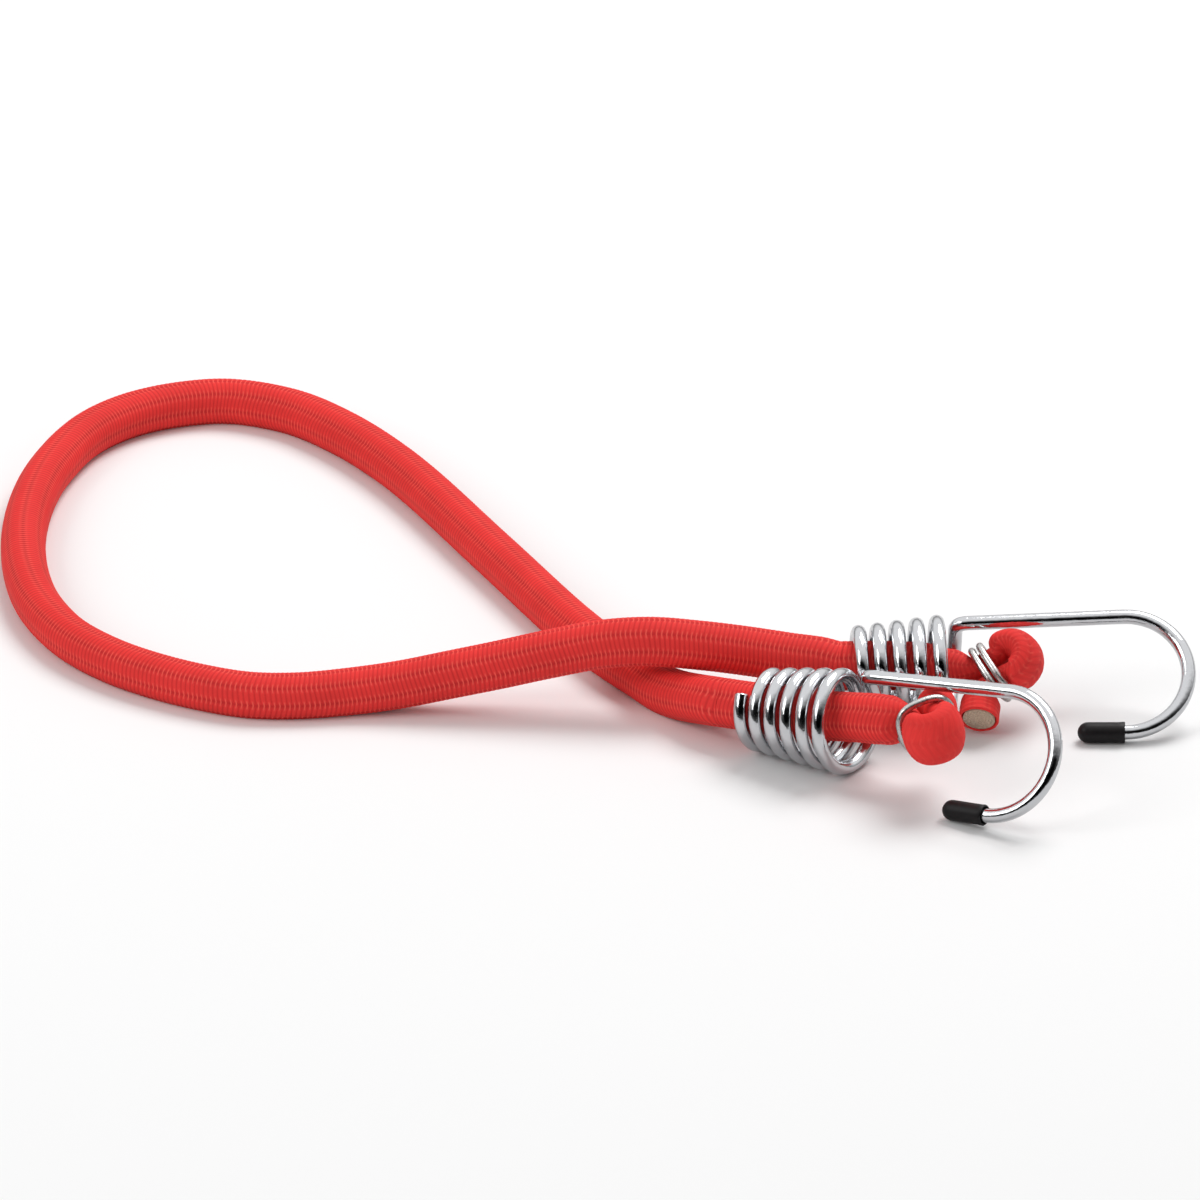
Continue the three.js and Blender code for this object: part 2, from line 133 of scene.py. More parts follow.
SADDLES = {mount["name"]: mount for mount in frame["record"]["mounts"]}
for name, end in ENDS.items():
    joint = next(j for j in frame["joints"] if j["name"] == f"{name}_swivel")
    along = unit(np.array(joint["axis"]))
    side = unit(np.cross(UP, along))
    end["seat"] = np.array([along, side, np.cross(along, side)])
    end["rise"] = np.array([0, 0, end["cord_rise"]]) * MM
    end["origin"] = np.array(joint["pos_m"]) - end["rise"] @ end["seat"]
    below = np.array(SADDLES[f"{name}_saddle"]["pos_m"]) - end["origin"]
    below = below - along * (below @ along)
    out = -unit(below)
    end["hook"] = np.array([along, np.cross(out, along), out])
    print(name, "axis", along.round(3), "shank side", out.round(3))

# %% [markdown]
# ## Routes
# A cord, a wire and a ring are all one thing to a modeller: a line with a section swept along it.
# The line is a smooth curve through given points, of the same kind as in the CAD source. It
# is sampled finely, with a frame at each sample: the way along, a normal and a side.

# %% Smooth lines with frames
def smooth_curve(points, shares):
    """Places at these shares of a centripetal Catmull-Rom curve through the points."""
    points = np.array(points, dtype=float)
    last = len(points) - 1
    first = np.minimum((shares * last).astype(int), last - 1)
    weight = (shares * last - first)[:, None]
    padded = np.vstack([2 * points[0] - points[1], points, 2 * points[-1] - points[-2]])
    p0, p1, p2, p3 = (padded[first + k] for k in range(4))
    d0, d1, d2 = (
        np.sqrt(np.linalg.norm(b - a, axis=1, keepdims=True))
        for a, b in ((p0, p1), (p1, p2), (p2, p3))
    )
    t1 = ((p1 - p0) / d0 - (p2 - p0) / (d0 + d1) + (p2 - p1) / d1) * d1
    t2 = ((p2 - p1) / d1 - (p3 - p1) / (d1 + d2) + (p3 - p2) / d2) * d1
    square = weight**2
    return (
        p1
        + t1 * weight
        + (3 * (p2 - p1) - 2 * t1 - t2) * square
        + (2 * (p1 - p2) + t1 + t2) * square * weight
    )


def framed_line(places, facing):
    """A line's samples by length, with frames: the first point of a section faces that way."""
    lengths = np.linalg.norm(np.diff(places, axis=0), axis=1)
    along = unit(np.gradient(places, axis=0))
    normal = facing - along * np.sum(facing * along, axis=1, keepdims=True)
    normal = unit(normal)
    return {
        "arc": np.concatenate([[0.0], np.cumsum(lengths)]),
        "place": places,
        "normal": normal,
        "side": np.cross(along, normal),
    }


def sample(line, key, arc):
    """A line's values at these lengths along it."""
    values = line[key]
    return np.stack(
        [np.interp(arc, line["arc"], values[:, k]) for k in range(values.shape[1])], axis=-1
    )


def section(line, arc):
    """A line's place, normal, side and half sizes at these lengths along it."""
    return [sample(line, key, arc) for key in ("place", "normal", "side", "size")]


# %% [markdown]
# ## Tubes from rings of points
# The cover and the rubber core are long tubes whose section changes from round to flat and back. A
# bevelled curve keeps its section's shape, and extruding by hand would take thousands of steps. So
# their points are worked out ring by ring, and quads join each ring to the next.

# %% Meshes from rings
def mesh_piece(name, vertices, faces, uv_maps):
    """A smooth-shaded object from arrays: its place is in its mesh."""
    mesh = bpy.data.meshes.new(name)
    mesh.from_pydata(vertices.tolist(), [], faces)
    for map_name, uv in uv_maps.items():
        layer = mesh.uv_layers.new(name=map_name)
        layer.data.foreach_set("uv", np.asarray(uv, dtype=np.float32).ravel())
    mesh.polygons.foreach_set("use_smooth", np.ones(len(faces), dtype=bool))
    mesh.update()
    piece = bpy.data.objects.new(name, mesh)
    SCENE.collection.objects.link(piece)
    return piece


def wall_faces(first, rings, sides, outwards):
    """Quads between neighbouring rings of a tube, all round it."""
    ring = np.arange(rings - 1)[:, None]
    corner = np.arange(sides)[None, :]
    a = first + ring * sides + corner
    b = first + ring * sides + (corner + 1) % sides
    quads = np.stack([a, b, b + sides, a + sides], axis=-1).reshape(-1, 4)
    return quads if outwards else quads[:, ::-1]


# %% [markdown]
# ## The braided cover
# The cover is a braid of polyester yarn over a bundle of rubber strands. It is plaited tightly, so
# what shows is fine ribs almost square to the cord, which lean one way in one column and the other
# way in the next, and meet in chevrons. A texture would look flat at the cord's edge, so the ribs
# are real: the tube's rings run in zigzags, four rings to a rib, and every fourth ring is a groove.
# The tube also has its bore, because the real cover is a sleeve about 1 mm thick. On the folded
# knobs the yarn is stretched flat, so there the relief is fainter. A tail is cut off askew.

# %% The cord's and the braid's sizes
CORD_DIAMETER = 9.5 * MM
COVER_WALL = 1.1 * MM
LAYER_GAP = 0.3 * MM
RIB_PITCH = 0.94 * MM
GROOVE_DEPTH = 0.05 * MM
COLUMN_GROOVE = 0.14 * MM
COLUMN_PROFILE = np.array([1.0, 0.25, 0.0, 0.0, 0.25])
COLUMNS = 8
SIDES_PER_COLUMN = 5
RINGS_PER_RIB = 4
SIDES = COLUMNS * SIDES_PER_COLUMN
CUT_SLOPE = 0.1
CUT_RAMP = 5 * MM
BORE_SHARE = (CORD_DIAMETER / 2 - COVER_WALL) / (CORD_DIAMETER / 2)
BORE_EVERY = 12
print("rib", round(RIB_PITCH / MM, 2), "mm, points in a ring", SIDES)

# %% [markdown]
# ### From sizes to a sleeve
# Each point starts on a straight ring and is moved along the cord by its column's zigzag. Its place
# across the cord is the section's half size, less the groove there. A UV map keeps which rib and
# which column a point belongs to, so that the yarn's colour can follow the relief. The bore needs
# no relief and gets one ring in twelve.

# %% A ribbed sleeve along a line
def end_faces(outer, inner, forwards):
    """Quads that close the end of a sleeve between its outer ring and its bore."""
    a = np.arange(SIDES)
    b = (a + 1) % SIDES
    quads = np.stack([outer + a, outer + b, inner + b, inner + a], axis=-1)
    return quads if forwards else quads[:, ::-1]


def ring_uv(values, keep, face_count):
    """A UV map with one value for each ring along it and the columns across: the braid reads it."""
    left = np.arange(SIDES) / SIDES_PER_COLUMN
    right = left + 1 / SIDES_PER_COLUMN

    def wall(steps, outwards):
        low, high = (np.repeat(v[:, None], SIDES, axis=1) for v in (steps[:-1], steps[1:]))
        a, b = (np.repeat(v[None, :], len(steps) - 1, axis=0) for v in (left, right))
        corners = [(low, a), (low, b), (high, b), (high, a)]
        if not outwards:
            corners.reverse()
        return np.stack([np.stack(c, axis=-1) for c in corners], axis=2).reshape(-1, 2)

    parts = [wall(values, True), wall(values[keep], False)]
    parts.append(np.zeros((face_count * 4 - sum(len(p) for p in parts), 2)))
    return np.concatenate(parts)


def askew(line, arc, angle, stop):
    """How far the skewed cut of a tail moves each point of a ring along the line."""
    if line["cut"] is None:
        return 0.0
    near_cut = np.clip((arc - stop + CUT_RAMP) / CUT_RAMP, 0, 1)
    _, normal, aside, size = section(line, stop)
    lift = size[0] * (normal @ line["cut"]) * np.cos(angle)
    lift = lift + size[1] * (aside @ line["cut"]) * np.sin(angle)
    return CUT_SLOPE * near_cut**2 * lift


def sleeve(name, line, start, stop, roll=0.0):
    """The braided cover between two lengths along a line. roll turns its columns."""
    ribs = round((stop - start) / RIB_PITCH)
    rings = ribs * RINGS_PER_RIB + 1
    phase = np.arange(rings) / RINGS_PER_RIB
    base = start + (stop - start) * phase / ribs
    column = np.arange(SIDES) / SIDES_PER_COLUMN
    zigzag = np.abs(column % 2 - 1) - 0.5
    slant = np.interp(base, line["arc"], line["slant"])
    arc = base[:, None] + slant[:, None] * zigzag[None, :]
    angle = roll + 2 * math.pi * column / COLUMNS
    arc = arc + askew(line, base[:, None], angle[None, :], stop)
    place, normal, aside, size = section(line, arc)
    relief = np.interp(base, line["arc"], line["relief"])
    rib_groove = GROOVE_DEPTH * (0.5 + 0.5 * np.cos(2 * math.pi * phase))
    column_groove = COLUMN_GROOVE * np.tile(COLUMN_PROFILE, COLUMNS)
    groove = relief[:, None] * (rib_groove[:, None] + column_groove[None, :])
    bore_share = np.interp(base, line["arc"], line["bore"])[:, None]

    def skin(share, sunk):
        across = (size[..., 0] * share - sunk) * np.cos(angle)
        deep = (size[..., 1] * share - sunk) * np.sin(angle)
        return place + normal * across[..., None] + aside * deep[..., None]

    outside = skin(1.0, groove)
    outside[..., 2] = np.maximum(outside[..., 2], 0.0)
    keep = np.unique(np.append(np.arange(0, rings, BORE_EVERY), rings - 1))
    bore = skin(bore_share, 0.0)[keep]
    vertices = np.concatenate([outside.reshape(-1, 3), bore.reshape(-1, 3)])
    bore_start = rings * SIDES
    last_outer, last_bore = (rings - 1) * SIDES, bore_start + (len(keep) - 1) * SIDES
    faces = np.concatenate([
        wall_faces(0, rings, SIDES, True),
        wall_faces(bore_start, len(keep), SIDES, False),
        end_faces(0, bore_start, False),
        end_faces(last_outer, last_bore, True),
    ])
    uv_maps = {
        "braid": ring_uv(phase, keep, len(faces)),
        "relief": ring_uv(relief, keep, len(faces)),
    }
    return mesh_piece(name, vertices, faces.tolist(), uv_maps)


# %% [markdown]
# ## The loop
# The route starts at the narrow end of the front coil, runs back along the table, round the far
# side and home to the rear coil, and passes over its own first stretch on the way. The cord is
# slacker and so a little thicker near the hooks. Where it lies on the table it is a little flat
# underneath, so no point of it goes below the table. Its last centimetre comes down to the rear
# coil at a slight slope. The line runs straight on for 3 mm at both ends, so that the slanted
# ribs at a seam still have a line to lie on.

# %% The loop's route
LOOP_ROUTE = [
    [-56.9, 23.6, 4.2], [-63.1, 32.7, 4], [-69, 41.6, 3.9], [-76.6, 55.3, 3.8],
    [-91.9, 87.2, 3.8], [-111, 126, 3.8], [-123.3, 143.7, 3.8], [-133.5, 153.2, 3.8],
    [-145.7, 157.8, 3.8], [-155.8, 156.4, 3.8], [-166.2, 151.1, 3.8], [-174.5, 142, 3.8],
    [-181.1, 126.8, 3.8], [-184.6, 112.1, 3.8], [-186.2, 93.2, 3.8], [-185, 75.2, 3.8],
    [-181.9, 61.6, 3.8], [-175.7, 48.2, 3.8], [-167.7, 38.6, 3.8], [-159.6, 32.1, 3.8],
    [-149.7, 26.4, 3.8], [-139.8, 22.8, 3.8], [-129.8, 22.5, 3.8], [-120, 23.5, 4.3],
    [-110, 24, 5.6], [-100.2, 24.1, 7.7], [-90.4, 24.3, 9.8], [-80.4, 24.5, 12.1],
    [-70.5, 24.6, 14.1], [-60.6, 24.1, 15], [-50.6, 24, 14.2], [-41, 24, 12.9],
    [-32.4, 23.1, 11.9], [-27, 22.4, 11.45],
]
LEAD = {"front": CORD_DIAMETER / 4, "rear": CORD_DIAMETER / 10}
SAMPLES = 6000
LOOP_SLANT = 0.55 * MM
SLACK_SHARE = 1.08
GRIP_DEPTH = 0.2 * MM
GRIPPED_RADIUS = CORD_DIAMETER / 2 * SLACK_SHARE - GRIP_DEPTH
RUN_ON = 3 * MM
SEAM = RUN_ON - LAYER_GAP / 2
THICKNESS_AT = [0, 30, 100, 165, 220, 315, 390, 440, 476]
THICKNESS = [4.93, 4.93, 4.8, 4.72, 4.62, 4.58, 4.78, 4.93, 4.93]


def seam_point(end):
    """Where the loop's CAD solid stops, behind the coil's narrow end."""
    behind = end["straight_behind"] * MM + LAYER_GAP
    return end["origin"] + end["rise"] @ end["seat"] - end["seat"][0] * behind


def extended(places):
    """The same line with a straight step added at each end."""
    first = places[0] + unit(places[0] - places[1]) * RUN_ON
    last = places[-1] + unit(places[-1] - places[-2]) * RUN_ON
    return np.vstack([first, places, last])


starts = {name: seam_point(end) for name, end in ENDS.items()}
leads = {name: starts[name] - ENDS[name]["seat"][0] * LEAD[name] for name in ENDS}
route = [starts["front"], leads["front"], *(np.array(p) * MM for p in LOOP_ROUTE)]
route += [leads["rear"], starts["rear"]]
loop_places = smooth_curve(route, np.linspace(0, 1, SAMPLES))
loop_length = np.linalg.norm(np.diff(loop_places, axis=0), axis=1).sum()
loop_line = framed_line(extended(loop_places), UP)
radius = np.interp((loop_line["arc"] - RUN_ON) / MM, THICKNESS_AT, THICKNESS) * MM
loop_line["size"] = np.stack([radius, radius], axis=1)
loop_line["slant"] = np.full(SAMPLES + 2, LOOP_SLANT)
loop_line["relief"] = np.ones(SAMPLES + 2)
loop_line["bore"] = np.full(SAMPLES + 2, BORE_SHARE)
loop_line["cut"] = None
print("loop length", round(loop_length / MM, 1), "mm")

# %% [markdown]
# ### The loop's cover
# On the real thing the cover is one piece from tail to tail. Here it is divided behind each coil,
# where the line is straight, because a hook turns there with its folded end. The CAD solids stop
# 0.3 mm apart. The visible edges meet halfway between them and turn against each other about the
# cord's own line, so the seam never opens.

# %% The loop's braid
loop_braid = sleeve("loop_braid", loop_line, SEAM, loop_line["arc"][-1] - SEAM)
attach(loop_braid, "cord")
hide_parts("loop_cover")
print("loop_braid", len(loop_braid.data.polygons), "faces")

# %% [markdown]
# ## The rubber inside
# Inside the cover lies a bundle of thin rubber strands. It only shows where the cord is cut, at the
# two tails, so along the cord it is a plain tube, and at each cut it ends in many small strand ends.
# The core is made from rings as the cover is, along the same line.

# %% A core along a line
CORE_SIDES = 16


def core(name, line, start, stop, steps, roll=0.0):
    """The bundle's outside between two lengths along a line, closed at both ends."""
    base = np.linspace(start, stop, steps)[:, None]
    angle = roll + np.arange(CORE_SIDES)[None, :] * 2 * math.pi / CORE_SIDES
    arc = base + BORE_SHARE * askew(line, base, angle, stop) + np.zeros((1, CORE_SIDES))
    place, normal, aside, size = section(line, arc)
    size = size * np.interp(base, line["arc"], line["bore"])[..., None] - LAYER_GAP
    rings = place + normal * size[..., :1] * np.cos(angle)[..., None]
    rings = rings + aside * size[..., 1:] * np.sin(angle)[..., None]
    hubs = sample(line, "place", base[[0, -1], 0])
    vertices = np.concatenate([rings.reshape(-1, 3), hubs])
    corners = [(k, (k + 1) % CORE_SIDES) for k in range(CORE_SIDES)]
    last = (steps - 1) * CORE_SIDES
    first_hub, last_hub = steps * CORE_SIDES, steps * CORE_SIDES + 1
    faces = wall_faces(0, steps, CORE_SIDES, True).tolist()
    faces += [[b, a, first_hub] for a, b in corners]
    faces += [[last + a, last + b, last_hub] for a, b in corners]
    return mesh_piece(name, vertices, faces, {})


# %% [markdown]
# ### The loop's core
# The core fills the loop's cover and stops at the same seams.

# %% The loop's rubber
CORE_STEP = 2.5 * MM
loop_core_steps = int(loop_length / CORE_STEP)
loop_strands = core("loop_strands", loop_line, SEAM, loop_line["arc"][-1] - SEAM, loop_core_steps)
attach(loop_strands, "cord")
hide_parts("loop_core")
print("loop_strands", len(loop_strands.data.polygons), "faces")

# %% [markdown]
# ## The folded ends
# Each end leaves the coil as a neck, is pressed flat where the wire ring grips it, turns back on
# itself in a tight fold, passes through the ring again and ends in a short cut tail. It is the same
# sleeve along another line, whose section is an ellipse that changes from point to point.

# %% The folded ends' lines
STRAND_GAP = 0.5 * MM
CLAMPED_HALF = np.array([0.22, 0.39]) * CORD_DIAMETER
FOLD_HALF = np.array([0.32, 0.58]) * CORD_DIAMETER
TAIL_HALF = np.array([0.42, 0.432]) * CORD_DIAMETER
FOLD_RADIUS = 0.337 * CORD_DIAMETER
FOLD_ARC_STEPS = 4
STRAND_OFFSET = CLAMPED_HALF[0] + STRAND_GAP / 2
RING_WIRE = 1.5 * MM
RING_WIRE_GAP = 0.35 * MM
RING_TURNS = 1.42
RING_FIT = 0.4 * MM
RING_PITCH = RING_WIRE + RING_WIRE_GAP
CLAMP_REACH = RING_TURNS * RING_PITCH / 2 + RING_WIRE / 2 + RING_FIT
FIRST_PITCH = 3.65 * MM
LAST_PITCH = 4.12 * MM
END_SAMPLES = 3000
print("clamped stretch", round(2 * CLAMP_REACH / MM, 1), "mm")

# %% [markdown]
# ### The line of a folded end
# The points run through the coil, past the clamp, round the fold, back through the clamp and out to
# the tail. The section's half sizes travel with them: round in the coil, flat in the clamp, wide in
# the fold. The line's frame turns with the fold's plane, so the flat side always faces the fold.

# %% A folded end's line
def fold_frame(end):
    """The clamp's place, the fold's direction, and the way from its first strand to its second."""
    mouth = np.array([end["coil_turns"] * (FIRST_PITCH + LAST_PITCH) / 2, 0, 0])
    aim = unit(np.array(end["fold_aim"], dtype=float))
    across = np.array(end["fold_across"], dtype=float)
    across = unit(across - aim * (across @ aim))
    return mouth, mouth + np.array(end["clamp_place"]) * MM, aim, across, np.cross(aim, across)


def end_points(end):
    """The folded end's points, seen from the coil's start, with half sizes of its section."""
    mouth, clamp, aim, across, out_of_plane = fold_frame(end)
    behind = np.array([-end["straight_behind"] * MM, 0, 0])
    points = [(place + end["rise"], GRIPPED_RADIUS * np.ones(2)) for place in (behind, np.zeros(3))]
    for place, share in zip(end["neck_route"], end["neck_shares"]):
        points.append((mouth + np.array(place) * MM, GRIPPED_RADIUS * share * np.ones(2)))

    def add(ahead, aside, half, out=0.0):
        points.append((clamp + aim * ahead + across * aside + out_of_plane * out, half))

    for ahead in (-CLAMP_REACH, 0, CLAMP_REACH):
        add(ahead, -STRAND_OFFSET, CLAMPED_HALF)
    for k in range(FOLD_ARC_STEPS + 1):
        turn = math.pi * k / FOLD_ARC_STEPS
        ahead = end["fold_reach"] * CORD_DIAMETER + FOLD_RADIUS * math.sin(turn)
        add(ahead, -FOLD_RADIUS * math.cos(turn), FOLD_HALF)
    for ahead in (CLAMP_REACH, 0, -CLAMP_REACH):
        add(ahead, STRAND_OFFSET, CLAMPED_HALF)
    for ahead, aside, out in end["tail_route"]:
        add(ahead * MM, aside * MM, TAIL_HALF, out * MM)
    return points


def end_line(end):
    """The folded end as a line in the model's frame."""
    points = end_points(end)
    shares = np.linspace(0, 1, END_SAMPLES)
    places = smooth_curve([p for p, _ in points], shares) @ end["seat"] + end["origin"]
    halves = np.array([h for _, h in points])
    before = np.minimum((shares * (len(points) - 1)).astype(int), len(points) - 2)
    part = shares * (len(points) - 1) - before
    part = (part**2 * (3 - 2 * part))[:, None]
    size = halves[before] * (1 - part) + halves[before + 1] * part
    out_of_plane = fold_frame(end)[4] @ end["seat"]
    places = extended(places)
    along = unit(np.gradient(places, axis=0))
    line = framed_line(places, np.cross(out_of_plane, along))
    line["size"] = np.vstack([size[:1], size, size[-1:]])
    return line


def top_roll(line, end):
    """The angle in a line's first section that faces the same way as the loop's first column."""
    top = end["seat"][2]
    return math.atan2(line["side"][1] @ top, line["normal"][1] @ top)


# %% [markdown]
# ### The braid on the folded ends
# Towards the knob the cover is bunched up, so its ribs lean more, and on the knob it is stretched
# flat, so they fade. At the tail the ribs straighten into the cut, and the cover is thinner there.
# The cut is a little askew: its upper front edge stands out further than its lower back edge. The
# front end's columns are turned by one, so that its chevrons meet the loop's at the seam.

# %% The folded ends' braid
NECK_SLANT = 0.9 * MM
NECK_LEAD = 10 * MM
KNOB_AT = {"front": 36.5 * MM, "rear": 19 * MM}
KNOB_RELIEF = {"front": 0.18, "rear": 0.5}
KNOB_FADE = 6 * MM
TAIL_FADE = 6 * MM
TAIL_SQUARE = 1 * MM
TAIL_BORE_SHARE = 0.88
TAIL_BORE_FADE = 3 * MM
COLUMN_TURNS = {"front": 1, "rear": 0}
for name, end in ENDS.items():
    line = end_line(end)
    end["line"] = line
    whole = line["arc"][-1]
    tail = whole - RUN_ON
    knob = SEAM + KNOB_AT[name]
    slant_at = [0, SEAM, knob - NECK_LEAD, tail - TAIL_FADE, tail - TAIL_SQUARE, whole]
    slants = [LOOP_SLANT, LOOP_SLANT, NECK_SLANT, NECK_SLANT, 0, 0]
    line["slant"] = np.interp(line["arc"], slant_at, slants)
    line["relief"] = np.interp(line["arc"], [knob, knob + KNOB_FADE], [1, KNOB_RELIEF[name]])
    line["bore"] = np.interp(
        line["arc"], [tail - TAIL_BORE_FADE, tail], [BORE_SHARE, TAIL_BORE_SHARE]
    )
    way_out = unit(line["place"][-1] - line["place"][-2])
    line["cut"] = unit(np.array(BACK) - way_out * (way_out @ np.array(BACK)))
    end["roll"] = top_roll(line, end) + 2 * math.pi / COLUMNS * COLUMN_TURNS[name]
    braid = sleeve(f"{name}_end_braid", line, SEAM, tail, roll=end["roll"])
    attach(braid, f"{name}_end")
    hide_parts(f"{name}_end_cover")
    end["tail"] = tail
    print(name, "end", round((tail - SEAM) / MM, 1), "mm,", len(braid.data.polygons), "faces")

# %% [markdown]
# ## The cut rubber
# At a tail the knife has gone through the whole bundle, so the cut shows many small strand ends.
# One strand end is made from a cylinder whose edges are bevelled, then copied over the cut in
# staggered rows, which lie closer than the strands in a row, as round things pack. A copy stands a
# little higher or lower than its neighbours. The copies are joined to the core behind them.

# %% The folded ends' rubber
CORE_STEPS = 90
STRAND_RADIUS = 0.3 * MM
STRAND_SIDES = 8
STRAND_BEVEL_SHARE = 0.35
STRAND_PITCH = 0.62 * MM
ROW_SHARE = 0.866
ROW_PITCH = STRAND_PITCH * ROW_SHARE
EDGE_SHARE = 0.8
STRAND_INSET = LAYER_GAP + STRAND_RADIUS * EDGE_SHARE
STRAND_LENGTH = 1.6 * MM
STRAND_LEVELS = 0.09 * MM
CREASE = math.radians(50)
RNG = np.random.default_rng(7)


def strand_end():
    """One short strand: a small cylinder with bevelled edges, its top at the origin."""
    bpy.ops.object.select_all(action="DESELECT")
    bpy.ops.mesh.primitive_cylinder_add(
        vertices=STRAND_SIDES,
        radius=STRAND_RADIUS,
        depth=STRAND_LENGTH,
        location=(0, 0, -STRAND_LENGTH / 2),
    )
    bar = bpy.context.object
    bpy.ops.object.transform_apply(location=True, rotation=False, scale=False)
    bpy.ops.object.modifier_add(type="BEVEL")
    bar.modifiers[-1].width = STRAND_RADIUS * STRAND_BEVEL_SHARE
    bar.modifiers[-1].segments = 2
    bar.modifiers[-1].limit_method = "ANGLE"
    bpy.ops.object.modifier_apply(modifier=bar.modifiers[-1].name)
    bpy.ops.object.shade_smooth_by_angle(angle=CREASE)
    return bar


def strand_places(line, tail):
    """Places of the strand ends over a tail's cut, in staggered rows, and the way out of it."""
    middle, normal, aside, size = section(line, tail)
    way_out = unit(np.cross(normal, aside))
    way_out = way_out * np.sign((line["place"][-1] - middle) @ way_out)
    half = size * TAIL_BORE_SHARE - STRAND_INSET
    rows = int(half[1] / ROW_PITCH)
    places = []
    for row in range(-rows, rows + 1):
        deep = row * ROW_PITCH
        reach = half[0] * math.sqrt(max(0.0, 1 - (deep / half[1]) ** 2))
        shift = STRAND_PITCH / 2 * (row % 2)
        count = int((reach + shift) / STRAND_PITCH)
        for k in range(-count, count + 1):
            across = k * STRAND_PITCH + shift
            if abs(across) > reach:
                continue
            offset = normal * across + aside * deep
            rise = CUT_SLOPE * (offset @ line["cut"]) + RNG.uniform(0.2, 1.0) * STRAND_LEVELS
            places.append(middle + offset + way_out * rise)
    return places, way_out


for name, end in ENDS.items():
    line, tail = end["line"], end["tail"]
    strands = core(f"{name}_end_strands", line, SEAM, tail, CORE_STEPS, roll=end["roll"])
    pattern = strand_end()
    places, way_out = strand_places(line, tail)
    turn = Vector(way_out).to_track_quat("Z", "Y").to_matrix().to_4x4()
    copies = []
    for place in places:
        bpy.ops.object.select_all(action="DESELECT")
        copy = pattern.copy()
        copy.data = pattern.data.copy()
        SCENE.collection.objects.link(copy)
        copy.data.transform(Matrix.Translation(Vector(place)) @ turn)
        copies.append(copy)
    bpy.data.objects.remove(pattern)
    bpy.ops.object.select_all(action="DESELECT")
    for piece in [*copies, strands]:
        piece.select_set(True)
    bpy.context.view_layer.objects.active = strands
    bpy.ops.object.join()
    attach(strands, f"{name}_end")
    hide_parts(f"{name}_end_core")
    print(name, "tail shows", len(places), "strand ends")

# %% [markdown]
# ## The wire hooks
# A hook is one piece of bright spring wire: a conical coil, a corner, a straight shank and an open
# bend. A bar could be bent with modifiers, but a curve with a round bevel keeps the wire's thickness
# through every bend, as drawn wire does. It follows the points one by one and is then converted to
# a mesh. Its ends are cut off square, with a small chamfer, and the first one stays bare.

# %% A round wire along a line
WIRE_SEGMENTS = 5
WIRE_CREASE = math.radians(40)
CHAMFER_SHARE = 0.14
CHAMFERED_SHARE = 0.86


def chamfered(places, radius):
    """The places with one more just inside each end: the wire narrows from there to its end."""
    step = radius * CHAMFER_SHARE
    first = places[0] + unit(places[1] - places[0]) * step
    last = places[-1] + unit(places[-2] - places[-1]) * step
    return np.vstack([places[:1], first, places[1:-1], last, places[-1:]])


def round_wire(name, places, radius):
    """A solid round wire through these places, made as a bevelled curve and then a mesh."""
    places = chamfered(places, radius)
    bpy.ops.object.select_all(action="DESELECT")
    bpy.ops.curve.primitive_nurbs_path_add()
    wire = bpy.context.object
    wire.name = name
    curve = wire.data
    curve.splines.clear()
    spline = curve.splines.new("POLY")
    spline.points.add(len(places) - 1)
    spline.points.foreach_set("co", np.column_stack([places, np.ones(len(places))]).ravel())
    spline.points[0].radius = CHAMFERED_SHARE
    spline.points[-1].radius = CHAMFERED_SHARE
    curve.dimensions = "3D"
    curve.bevel_depth = radius
    curve.bevel_resolution = WIRE_SEGMENTS
    curve.use_fill_caps = True
    bpy.ops.object.convert(target="MESH")
    wire = bpy.context.object
    bpy.ops.object.shade_smooth_by_angle(angle=WIRE_CREASE)
    return wire


# %% [markdown]
# ### A hook's path
# The coil lies close round the cord at its narrow end and opens towards the knob. Its last turn
# goes into the shank through a tight corner, and the shank spreads from the coil's axis by two
# degrees. The bend is an arc of a little more than half a circle, so the tip points back at the
# coil. The wire stops inside the cap, just short of the cap's round end.

# %% The hooks' wire
WIRE_RADIUS = 1.45 * MM
COIL_CLEARANCE = 0.5 * MM
NARROW_RADIUS = GRIPPED_RADIUS + COIL_CLEARANCE + WIRE_RADIUS
COIL_FLARE = 2.55 * MM
CORNER_RADIUS = 2.3 * MM
SHANK_LENGTH = 33 * MM
SHANK_SPREAD = math.radians(2)
BEND_RADIUS = 12.5 * MM
BEND_DEGREES = 182.5
CAP_LENGTH = 9.4 * MM
CAP_END_WALL = 0.9 * MM
STEPS_PER_TURN = 48
CORNER_STEPS = 8
BEND_POINTS = 62


def coil_place(turn, turns):
    """A place on the coil: X runs along its axis and Z points to the shank."""
    share = turn / turns
    radius = NARROW_RADIUS + COIL_FLARE * share
    along = FIRST_PITCH * turn + (LAST_PITCH - FIRST_PITCH) * turn * share / 2
    angle = 2 * math.pi * (turns - turn)
    return np.array([along, radius * math.sin(angle), radius * math.cos(angle)])


